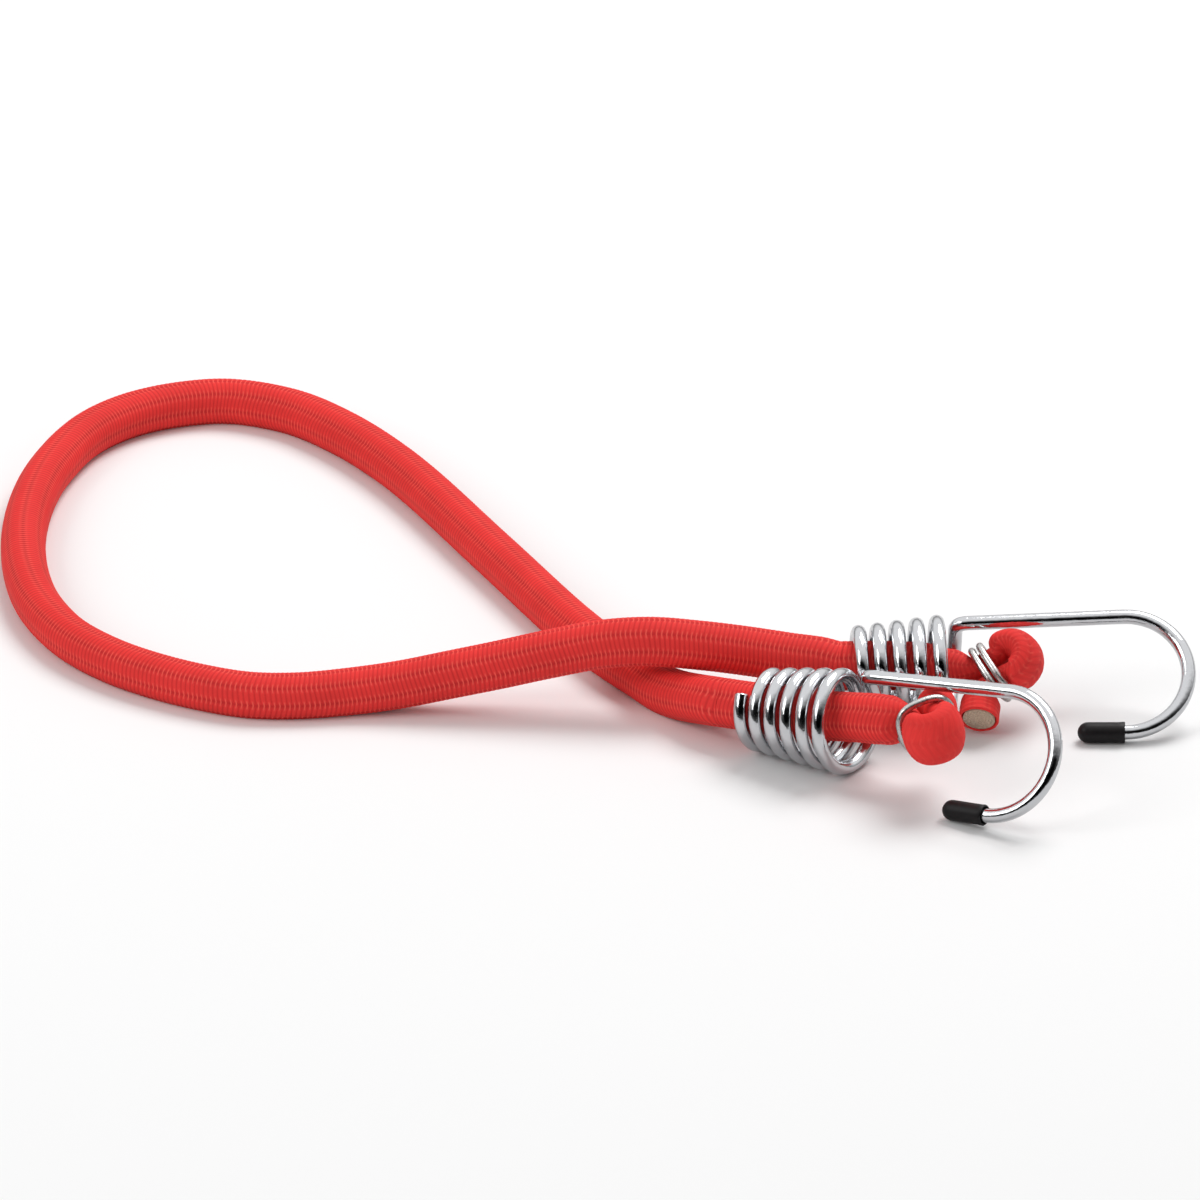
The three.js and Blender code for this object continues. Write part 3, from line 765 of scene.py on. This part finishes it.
def hook_route(turns):
    """The wire's centre line, with the place and direction where the cap starts."""
    wide = NARROW_RADIUS + COIL_FLARE
    stop = turns - CORNER_RADIUS / wide / (2 * math.pi)
    coil = [coil_place(t, turns) for t in np.linspace(0, stop, round(stop * STEPS_PER_TURN))]
    start = coil[0] - unit(coil[1] - coil[0]) * WIRE_RADIUS
    corner = coil_place(turns, turns)
    ahead = np.array([math.cos(SHANK_SPREAD), 0, math.sin(SHANK_SPREAD)])
    outwards = np.array([-math.sin(SHANK_SPREAD), 0, math.cos(SHANK_SPREAD)])
    leave = corner + ahead * CORNER_RADIUS
    corner_line = [
        coil[-1] * (1 - t) ** 2 + corner * 2 * t * (1 - t) + leave * t**2
        for t in np.linspace(0, 1, CORNER_STEPS + 1)[1:]
    ]
    shank_end = corner + ahead * SHANK_LENGTH
    centre = shank_end - outwards * BEND_RADIUS
    turn = np.radians(np.linspace(0, BEND_DEGREES, BEND_POINTS))
    bend = [centre + BEND_RADIUS * (ahead * math.sin(a) + outwards * math.cos(a)) for a in turn]
    way = ahead * math.cos(turn[-1]) - outwards * math.sin(turn[-1])
    tip = bend[-1] + way * (CAP_LENGTH - CAP_END_WALL - LAYER_GAP)
    return np.array([start, *coil, *corner_line, *bend, tip]), bend[-1], way


for name, end in ENDS.items():
    places, cap_start, cap_way = hook_route(end["coil_turns"])
    end["cap"] = (cap_start @ end["hook"] + end["origin"], cap_way @ end["hook"])
    wire = round_wire(f"{name}_wire", places @ end["hook"] + end["origin"], WIRE_RADIUS)
    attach(wire, f"{name}_hook")
    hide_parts(f"{name}_hook_wire")
    print(wire.name, len(wire.data.polygons), "faces")

# %% [markdown]
# ## The clamp rings
# A short piece of softer plated wire is wound nearly one and a half times round both strands and
# squeezed shut. Its path is a squarish oval that climbs by a wire's thickness and a small gap each
# turn, and it is bevelled like the hooks' wire.

# %% The clamp rings
RING_SQUARENESS = 2.8
RING_START = math.radians(194)
RING_STEPS_PER_TURN = 64
RING_LONG = STRAND_OFFSET + CLAMPED_HALF[0] + RING_FIT + RING_WIRE / 2
RING_SHORT = CLAMPED_HALF[1] + RING_FIT + RING_WIRE / 2
for name, end in ENDS.items():
    _, clamp, aim, across, out_of_plane = fold_frame(end)
    turn = np.linspace(0, RING_TURNS, round(RING_TURNS * RING_STEPS_PER_TURN))[:, None]
    angle = RING_START + 2 * math.pi * turn
    powers = np.abs(np.cos(angle)) ** RING_SQUARENESS + np.abs(np.sin(angle)) ** RING_SQUARENESS
    oval = powers ** (-1 / RING_SQUARENESS)
    places = clamp + aim * RING_PITCH * (turn - RING_TURNS / 2)
    places = places + across * RING_LONG * oval * np.cos(angle)
    places = places + out_of_plane * RING_SHORT * oval * np.sin(angle)
    ring = round_wire(f"{name}_ring", places @ end["seat"] + end["origin"], RING_WIRE / 2)
    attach(ring, f"{name}_end")
    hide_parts(f"{name}_clamp_ring")
    print(ring.name, len(ring.data.polygons), "faces")

# %% [markdown]
# ## The vinyl caps
# The hook's tip is covered by a soft black cap, a dipped or moulded cup with a round end. A small
# disc is the top of the round end. Its edge is extruded and resized ring by ring: over the round
# end, down the outside, round the rim and up the bore, which is closed at its bottom. That gives
# the cap a real wall, as the hook's wire is seen going into it.

# %% The vinyl caps
CAP_SIDES = 40
CAP_BORE = WIRE_RADIUS + 0.25 * MM
CAP_OUTSIDE = CAP_BORE + 0.35 * MM
CAP_DOME_STEPS = 8
DOME_START_SHARE = 0.93
BODY_HEIGHTS = np.array([5.0, 3.0, 1.2]) * MM
RIM_FLARE = 0.07 * MM
RIM_ROUNDING = np.array([0.18, 0.12]) * MM
BORE_FLARE = np.array([0.1, 0.08]) * MM


def extrude_ring(rise, ratio, centre_height):
    """Extrudes the selected ring, moves it up and resizes it about the cap's axis."""
    bpy.ops.mesh.extrude_edges_move(TRANSFORM_OT_translate={"value": (0, 0, rise)})
    bpy.ops.transform.resize(value=(ratio, ratio, 1), center_override=(0, 0, centre_height))


def cap_profile():
    """Heights and radii of the cap's rings, from its round end's top to the bottom of the bore."""
    flared = CAP_OUTSIDE + RIM_FLARE
    rim = [(RIM_ROUNDING[0], flared), (0.0, flared - RIM_ROUNDING[1]), (0.0, CAP_BORE + BORE_FLARE[1])]
    bore = [(BORE_FLARE[0], CAP_BORE), (CAP_LENGTH - CAP_END_WALL, CAP_BORE)]
    dome_base = CAP_LENGTH - CAP_OUTSIDE
    dome = [
        (dome_base + CAP_OUTSIDE * math.sin(a), CAP_OUTSIDE * math.cos(a))
        for a in np.linspace(math.pi / 2 * DOME_START_SHARE, 0, CAP_DOME_STEPS)
    ]
    body = [(height, CAP_OUTSIDE) for height in BODY_HEIGHTS]
    return dome + body + rim + bore


for name, end in ENDS.items():
    rings = cap_profile()
    bpy.ops.object.select_all(action="DESELECT")
    height, radius = rings[0]
    bpy.ops.mesh.primitive_circle_add(
        vertices=CAP_SIDES, radius=radius, fill_type="TRIFAN", location=(0, 0, 0)
    )
    cap = bpy.context.object
    cap.name = f"{name}_cap"
    bpy.ops.object.mode_set(mode="EDIT")
    bpy.ops.mesh.select_all(action="SELECT")
    bpy.ops.transform.translate(value=(0, 0, height))
    bpy.ops.mesh.region_to_loop()
    for next_height, next_radius in rings[1:]:
        extrude_ring(next_height - height, next_radius / radius, next_height)
        height, radius = next_height, next_radius
    bpy.ops.mesh.edge_face_add()
    bpy.ops.mesh.select_all(action="SELECT")
    bpy.ops.mesh.normals_make_consistent(inside=False)
    bpy.ops.object.mode_set(mode="OBJECT")
    start, way = end["cap"]
    cap.rotation_mode = "QUATERNION"
    cap.rotation_quaternion = Vector(way).to_track_quat("Z", "Y")
    cap.location = start
    bpy.ops.object.transform_apply(location=True, rotation=True, scale=True)
    bpy.ops.object.shade_smooth_by_angle(angle=CREASE)
    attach(cap, f"{name}_hook")
    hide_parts(f"{name}_tip_cap")
    print(cap.name, len(cap.data.polygons), "faces")

# %% [markdown]
# ## Materials
# Two small helpers are enough for every material: one turns an sRGB colour into Blender's linear
# values, and one adds a node with its settings and links.

# %% Material helpers
def add_node(tree, kind, settings=None, links=None):
    """Adds a node with its settings, attributes or inputs by name, and its links by input."""
    node = tree.nodes.new(kind)
    for key, value in (settings or {}).items():
        if isinstance(key, str) and hasattr(node, key):
            setattr(node, key, value)
        else:
            node.inputs[key].default_value = value
    for key, output in (links or {}).items():
        tree.links.new(output, node.inputs[key])
    return node


def linear(hex_colour):
    """An sRGB hex colour as the linear values that Blender works in."""
    parts = [int(hex_colour[k : k + 2], 16) / 255 for k in (1, 3, 5)]
    return [p / 12.92 if p <= 0.04045 else ((p + 0.055) / 1.055) ** 2.4 for p in parts] + [1.0]


def new_material(name, colour, roughness, metallic=0.0, specular=0.5):
    """A material with its plain values set, its node tree and its shader."""
    material = bpy.data.materials.new(name)
    material.use_nodes = True
    shader = material.node_tree.nodes["Principled BSDF"]
    shader.inputs["Base Color"].default_value = linear(colour)
    shader.inputs["Roughness"].default_value = roughness
    shader.inputs["Metallic"].default_value = metallic
    shader.inputs["Specular IOR Level"].default_value = specular
    return material, material.node_tree, shader


# %% [markdown]
# ### Braided polyester yarn
# Plaited continuous filament yarn, dyed red. It is matt with a faint sheen. Painted shade makes it
# deeper red in the groove and where two columns meet, and just beside that, on a rib's crest, a small
# painted highlight makes it brighter. The sleeve's UV map gives the place: one unit along it is a rib,
# 0.94 mm, and one unit across is a column, 3.7 mm. A second map tells how deep the relief is, which
# fades on the knobs, and the painted shade and highlight fade with it. A rib's real filaments are some
# 0.02 mm thick and would not show, so five coarser ones are drawn, with patches of wear about 11 mm
# wide over them.

# %% Braid
braid_material, tree, shader = new_material("braided_polyester_yarn", "#e63a37", 0.7, specular=0.12)
where = add_node(tree, "ShaderNodeUVMap", {"uv_map": "braid"}).outputs["UV"]
parts = add_node(tree, "ShaderNodeSeparateXYZ", links={0: where})
relief_at = add_node(tree, "ShaderNodeUVMap", {"uv_map": "relief"}).outputs["UV"]
relief = add_node(tree, "ShaderNodeSeparateXYZ", links={0: relief_at}).outputs["X"]
rib = add_node(tree, "ShaderNodeMath", {"operation": "PINGPONG", 1: 0.5}, {0: parts.outputs["X"]})
groove = add_node(
    tree,
    "ShaderNodeMapRange",
    {"interpolation_type": "SMOOTHSTEP", "From Min": 0.02, "From Max": 0.3, "To Min": 0.7, "To Max": 0},
    {"Value": rib.outputs[0]},
)
edge = add_node(tree, "ShaderNodeMath", {"operation": "PINGPONG", 1: 0.5}, {0: parts.outputs["Y"]})
valley = add_node(
    tree,
    "ShaderNodeMapRange",
    {"interpolation_type": "SMOOTHSTEP", "From Min": 0, "From Max": 0.24, "To Min": 1, "To Max": 0},
    {"Value": edge.outputs[0]},
)
# Painted shade: the deeper of the rib's groove and the column's valley, scaled by the relief map below.
painted_shade_mask = add_node(
    tree,
    "ShaderNodeMath",
    {"operation": "MAXIMUM"},
    {0: groove.outputs["Result"], 1: valley.outputs["Result"]},
)
depth = add_node(
    tree, "ShaderNodeMath", {"operation": "MULTIPLY"}, {0: painted_shade_mask.outputs[0], 1: relief}
)
# Painted highlight: just beside a column's edge and on a rib's crest, scaled by the relief map.
beside = add_node(
    tree,
    "ShaderNodeMapRange",
    {"interpolation_type": "SMOOTHSTEP", "From Min": 0.32, "From Max": 0.16, "To Min": 0, "To Max": 1},
    {"Value": edge.outputs[0]},
)
crest = add_node(
    tree,
    "ShaderNodeMapRange",
    {"interpolation_type": "SMOOTHSTEP", "From Min": 0.28, "From Max": 0.45},
    {"Value": rib.outputs[0]},
)
highlight_spot = add_node(
    tree,
    "ShaderNodeMath",
    {"operation": "MULTIPLY"},
    {0: beside.outputs["Result"], 1: crest.outputs["Result"]},
)
shown_highlight = add_node(
    tree, "ShaderNodeMath", {"operation": "MULTIPLY"}, {0: highlight_spot.outputs[0], 1: relief}
)
print("braid's pattern of ribs and columns:", len(tree.nodes), "nodes")

# %% [markdown]
# ### The yarn's colour
# The pattern made above only says where the painted shade is deep and where a painted highlight
# sits. Now the colours are laid on: the yarn's red, its deeper red as painted shade, the painted
# highlight, then filaments and wear as a light and dark factor.

# %% Braid colours
FILAMENTS_PER_RIB = 5
STREAKS_PER_COLUMN = 1.2
threads_at = add_node(
    tree,
    "ShaderNodeVectorMath",
    {"operation": "MULTIPLY", 1: (FILAMENTS_PER_RIB, STREAKS_PER_COLUMN, 1)},
    {0: where},
)
threads = add_node(
    tree, "ShaderNodeTexNoise", {"Scale": 1.0, "Detail": 3.0}, {"Vector": threads_at.outputs[0]}
)
wear_at = add_node(tree, "ShaderNodeTexCoord").outputs["Object"]
wear = add_node(tree, "ShaderNodeTexNoise", {"Scale": 90.0, "Detail": 4.0}, {"Vector": wear_at})
# Painted shade: the deeper red #c62a2b is mixed in where the shade mask is deep.
yarn = add_node(
    tree,
    "ShaderNodeMix",
    {"data_type": "RGBA", 6: linear("#e63a37"), 7: linear("#c62a2b")},
    {0: depth.outputs[0]},
)
# Painted highlight: the lighter red #ec564c is mixed in beside the column edges.
highlighted_yarn = add_node(
    tree,
    "ShaderNodeMix",
    {"data_type": "RGBA", 7: linear("#ec564c")},
    {0: shown_highlight.outputs[0], 6: yarn.outputs[2]},
)
thread_shade = add_node(
    tree,
    "ShaderNodeMapRange",
    {"From Min": 0.3, "From Max": 0.7, "To Min": 0.94, "To Max": 1.04},
    {"Value": threads.outputs[0]},
)
wear_shade = add_node(
    tree,
    "ShaderNodeMapRange",
    {"From Min": 0.3, "From Max": 0.7, "To Min": 0.95, "To Max": 1.05},
    {"Value": wear.outputs[0]},
)
shade = add_node(
    tree,
    "ShaderNodeMath",
    {"operation": "MULTIPLY"},
    {0: thread_shade.outputs[0], 1: wear_shade.outputs[0]},
)
shaded = add_node(
    tree,
    "ShaderNodeVectorMath",
    {"operation": "SCALE"},
    {0: highlighted_yarn.outputs[2], "Scale": shade.outputs[0]},
)
tree.links.new(shaded.outputs[0], shader.inputs["Base Color"])
filament_bump = add_node(
    tree, "ShaderNodeBump", {"Strength": 0.35, "Distance": 0.05 * MM}, {"Height": threads.outputs[0]}
)
tree.links.new(filament_bump.outputs[0], shader.inputs["Normal"])
print(braid_material.name, "has", len(tree.nodes), "nodes")

# %% [markdown]
# ### Rubber strands
# Threads of natural rubber, extruded and dusted with talc: beige, dull and slightly mottled. The
# dust makes patches of about 0.4 mm, which is 2600 to a metre.

# %% Rubber
rubber_material, tree, shader = new_material("beige_latex_rubber", "#b39d85", 0.8, specular=0.25)
place = add_node(tree, "ShaderNodeTexCoord").outputs["Object"]
mottle = add_node(tree, "ShaderNodeTexNoise", {"Scale": 2600.0, "Detail": 4.0}, {"Vector": place})
tone = add_node(
    tree,
    "ShaderNodeMix",
    {"data_type": "RGBA", 6: linear("#a08b76"), 7: linear("#dccab4")},
    {0: mottle.outputs[0]},
)
tree.links.new(tone.outputs[2], shader.inputs["Base Color"])
bump = add_node(
    tree, "ShaderNodeBump", {"Strength": 0.6, "Distance": 0.08 * MM}, {"Height": mottle.outputs[0]}
)
tree.links.new(bump.outputs[0], shader.inputs["Normal"])
print(rubber_material.name, "has", len(tree.nodes), "nodes")

# %% [markdown]
# ### Bright plated spring wire
# Hard drawn steel wire with a thin bright nickel-chrome plating over the drawn surface: a mirror
# with a faint unevenness from the drawing and bending, about 1.6 mm from wave to wave, and slightly
# duller patches some 4 mm long where it rubs. As a metal it has no colour under its reflections.

# %% Hook wire
wire_material, tree, shader = new_material("bright_plated_spring_wire", "#d2d3d6", 0.1, metallic=1.0)
place = add_node(tree, "ShaderNodeTexCoord").outputs["Object"]
rubbed = add_node(tree, "ShaderNodeTexNoise", {"Scale": 260.0, "Detail": 5.0}, {"Vector": place})
dull = add_node(
    tree,
    "ShaderNodeMapRange",
    {"From Min": 0.35, "From Max": 0.75, "To Min": 0.06, "To Max": 0.2},
    {"Value": rubbed.outputs[0]},
)
tree.links.new(dull.outputs[0], shader.inputs["Roughness"])
waviness = add_node(tree, "ShaderNodeTexNoise", {"Scale": 640.0, "Detail": 4.0}, {"Vector": place})
bump = add_node(
    tree, "ShaderNodeBump", {"Strength": 0.6, "Distance": 0.1 * MM}, {"Height": waviness.outputs[0]}
)
tree.links.new(bump.outputs[0], shader.inputs["Normal"])
print(wire_material.name, "has", len(tree.nodes), "nodes")

# %% [markdown]
# ### Bare cut steel
# The coil's first end is sheared after plating, so the cut face is bare steel, dull grey-brown with
# specks of rust of about half a millimetre.

# %% Cut face
cut_material, tree, shader = new_material("bare_cut_steel", "#7a5a48", 0.5, metallic=0.6)
place = add_node(tree, "ShaderNodeTexCoord").outputs["Object"]
rust = add_node(tree, "ShaderNodeTexNoise", {"Scale": 1800.0, "Detail": 5.0}, {"Vector": place})
tone = add_node(
    tree,
    "ShaderNodeMix",
    {"data_type": "RGBA", 6: linear("#4a2f24"), 7: linear("#9c8478")},
    {0: rust.outputs[0]},
)
tree.links.new(tone.outputs[2], shader.inputs["Base Color"])
print(cut_material.name, "has", len(tree.nodes), "nodes")

# %% [markdown]
# ### Zinc-plated clamp wire
# Soft annealed wire with electroplated zinc: greyer than the hooks and satin, so it shows the studio
# blurred, with marks of about 0.7 mm from the pliers that squeezed it shut.

# %% Clamp wire
ring_material, tree, shader = new_material("zinc_plated_clamp_wire", "#c6c6c4", 0.28, metallic=1.0)
place = add_node(tree, "ShaderNodeTexCoord").outputs["Object"]
marks = add_node(tree, "ShaderNodeTexNoise", {"Scale": 1500.0, "Detail": 6.0}, {"Vector": place})
dull = add_node(
    tree,
    "ShaderNodeMapRange",
    {"From Min": 0.3, "From Max": 0.7, "To Min": 0.18, "To Max": 0.42},
    {"Value": marks.outputs[0]},
)
tree.links.new(dull.outputs[0], shader.inputs["Roughness"])
bump = add_node(
    tree, "ShaderNodeBump", {"Strength": 0.5, "Distance": 0.12 * MM}, {"Height": marks.outputs[0]}
)
tree.links.new(bump.outputs[0], shader.inputs["Normal"])
print(ring_material.name, "has", len(tree.nodes), "nodes")

# %% [markdown]
# ### Black dipped vinyl
# Soft PVC that the tip was dipped in: near black and satin, with an orange-peel skin. The dimples
# are drawn 0.7 mm wide, a little coarser than real ones, so that they show.

# %% Cap vinyl
vinyl_material, tree, shader = new_material("black_dipped_vinyl", "#141112", 0.45, specular=0.2)
place = add_node(tree, "ShaderNodeTexCoord").outputs["Object"]
peel = add_node(tree, "ShaderNodeTexNoise", {"Scale": 1400.0, "Detail": 3.0}, {"Vector": place})
tone = add_node(
    tree,
    "ShaderNodeMix",
    {"data_type": "RGBA", 6: linear("#0f0d0e"), 7: linear("#1d1a1b")},
    {0: peel.outputs[0]},
)
tree.links.new(tone.outputs[2], shader.inputs["Base Color"])
bump = add_node(
    tree, "ShaderNodeBump", {"Strength": 0.4, "Distance": 0.06 * MM}, {"Height": peel.outputs[0]}
)
tree.links.new(bump.outputs[0], shader.inputs["Normal"])
print(vinyl_material.name, "has", len(tree.nodes), "nodes")

# %% [markdown]
# ### Finishes on the pieces
# The last word of a piece's name picks its finish. A hook's wire gets two: its cut ends are the only
# faces with more than four corners, so they are easy to find, and they get the bare steel.

# %% Give each piece its material
FINISHES = {
    "braid": braid_material,
    "strands": rubber_material,
    "wire": wire_material,
    "ring": ring_material,
    "cap": vinyl_material,
}
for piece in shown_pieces():
    kind = piece.name.rsplit("_", 1)[-1]
    piece.data.materials.clear()
    piece.data.materials.append(FINISHES[kind])
    if kind == "wire":
        piece.data.materials.append(cut_material)
        for face in piece.data.polygons:
            face.material_index = int(len(face.vertices) > 4)
print("materials:", ", ".join(sorted(FINISHES)))

# %% [markdown]
# ## Light and table
# A big soft lamp above, a little behind and to the right gives the cord its bright upper side and
# its darker lower one. A weaker one lifts the left, and the world fills in from all around. At this
# level a colour renders about as it is written.

# %% Lamps
def soft_lamp(name, place, size, power):
    """A square area lamp that faces the middle of the scene."""
    bpy.ops.object.light_add(type="AREA", location=place)
    lamp = bpy.context.object
    lamp.name = name
    lamp.data.shape = "SQUARE"
    lamp.data.size = size
    lamp.data.energy = power
    lamp.rotation_euler = (LOOK_AT - Vector(place)).to_track_quat("-Z", "Y").to_euler()
    print(name, power, "W")


soft_lamp("key_lamp", place=(0.45, 0.75, 1.35), size=0.9, power=18.0)
soft_lamp("left_fill", place=(-1.1, -0.5, 0.9), size=0.8, power=6.0)

# %% [markdown]
# ## What the chrome mirrors
# Chrome has hardly a colour of its own: it shows the studio. In a white studio the camera stands in
# a dark opening between the lights, and the walls get darker towards the table. The world and the
# table show this to mirror rays only, fixed in the studio, so every view sees the same room.

# %% World
DARK_HALF_WIDTH = 1.4
DARK_HALF_HEIGHT = 0.58
MIRRORED_TABLE = 0.7
WHITE = (1, 1, 1, 1)
world = bpy.data.worlds.new("studio")
SCENE.world = world
world.use_nodes = True
world.node_tree.nodes.clear()
tree = world.node_tree
white = add_node(tree, "ShaderNodeBackground", {"Color": WHITE, "Strength": 1.0})
fill = add_node(tree, "ShaderNodeBackground", {"Color": WHITE, "Strength": 0.46})
rays = add_node(tree, "ShaderNodeLightPath")
direction = add_node(tree, "ShaderNodeTexCoord").outputs["Generated"]
WAYS = {
    "across": (1 / DARK_HALF_WIDTH, 0, 0),
    "upwards": (0, math.sin(ELEVATION) / DARK_HALF_HEIGHT, math.cos(ELEVATION) / DARK_HALF_HEIGHT),
    "forwards": BACK,
    "height": (0, 0, 1),
}
looking = {}
for way, axis in WAYS.items():
    node = add_node(
        tree, "ShaderNodeVectorMath", {"operation": "DOT_PRODUCT", 1: axis}, {0: direction}
    )
    looking[way] = node.outputs["Value"]
offset = add_node(
    tree, "ShaderNodeCombineXYZ", links={0: looking["across"], 1: looking["upwards"]}
)
reach = add_node(tree, "ShaderNodeVectorMath", {"operation": "LENGTH"}, {0: offset.outputs[0]})
opening = add_node(
    tree,
    "ShaderNodeMapRange",
    {"interpolation_type": "SMOOTHSTEP", "From Min": 0.4, "From Max": 1.35, "To Min": 1, "To Max": 0},
    {"Value": reach.outputs["Value"]},
)
in_front = add_node(
    tree,
    "ShaderNodeMapRange",
    {"interpolation_type": "SMOOTHSTEP", "From Min": 0.0, "From Max": 0.2},
    {"Value": looking["forwards"]},
)
dark_front = add_node(
    tree,
    "ShaderNodeMath",
    {"operation": "MULTIPLY"},
    {0: opening.outputs["Result"], 1: in_front.outputs["Result"]},
)
walls = add_node(
    tree,
    "ShaderNodeMapRange",
    {"interpolation_type": "SMOOTHSTEP", "From Min": 0, "From Max": 0.4, "To Min": 0.26, "To Max": 1},
    {"Value": looking["height"]},
)
lit = add_node(
    tree, "ShaderNodeMath", {"operation": "SUBTRACT", 0: 1.0}, {1: dark_front.outputs[0]}
)
mirror_level = add_node(
    tree, "ShaderNodeMath", {"operation": "MULTIPLY"}, {0: walls.outputs["Result"], 1: lit.outputs[0]}
)
mirrored = add_node(
    tree, "ShaderNodeBackground", {"Color": WHITE}, {"Strength": mirror_level.outputs[0]}
)
seen = add_node(
    tree,
    "ShaderNodeMixShader",
    links={0: rays.outputs["Is Glossy Ray"], 1: fill.outputs[0], 2: mirrored.outputs[0]},
)
mix = add_node(
    tree,
    "ShaderNodeMixShader",
    links={0: rays.outputs["Is Camera Ray"], 1: seen.outputs[0], 2: white.outputs[0]},
)
add_node(tree, "ShaderNodeOutputWorld", links={"Surface": mix.outputs[0]})
print("world nodes:", len(tree.nodes))

# %% [markdown]
# ## The table
# A matt white sheet, so wide that its edge never shows. It keeps the cord's soft shadow. Mirror rays
# see a greyer sheet, about as grey as the shaded patch that a wire has under it. The sheet is only
# a stage and no part of the object.

# %% Floor
FLOOR_SIZE = 12.0
bpy.ops.mesh.primitive_plane_add(size=FLOOR_SIZE, location=(0, 0, 0))
floor = bpy.context.object
floor.name = "floor"
floor_paint = bpy.data.materials.new("matt_white_table")
floor_paint.use_nodes = True
tree = floor_paint.node_tree
floor_shader = tree.nodes["Principled BSDF"]
floor_shader.inputs["Roughness"].default_value = 0.9
floor_shader.inputs["Specular IOR Level"].default_value = 0.1
rays = add_node(tree, "ShaderNodeLightPath")
floor_tone = add_node(
    tree,
    "ShaderNodeMix",
    {"data_type": "RGBA", 6: linear("#f1f1f1"), 7: (MIRRORED_TABLE, MIRRORED_TABLE, MIRRORED_TABLE, 1)},
    {0: rays.outputs["Is Glossy Ray"]},
)
tree.links.new(floor_tone.outputs[2], floor_shader.inputs["Base Color"])
floor.data.materials.append(floor_paint)
print(floor.name, FLOOR_SIZE, "m wide")
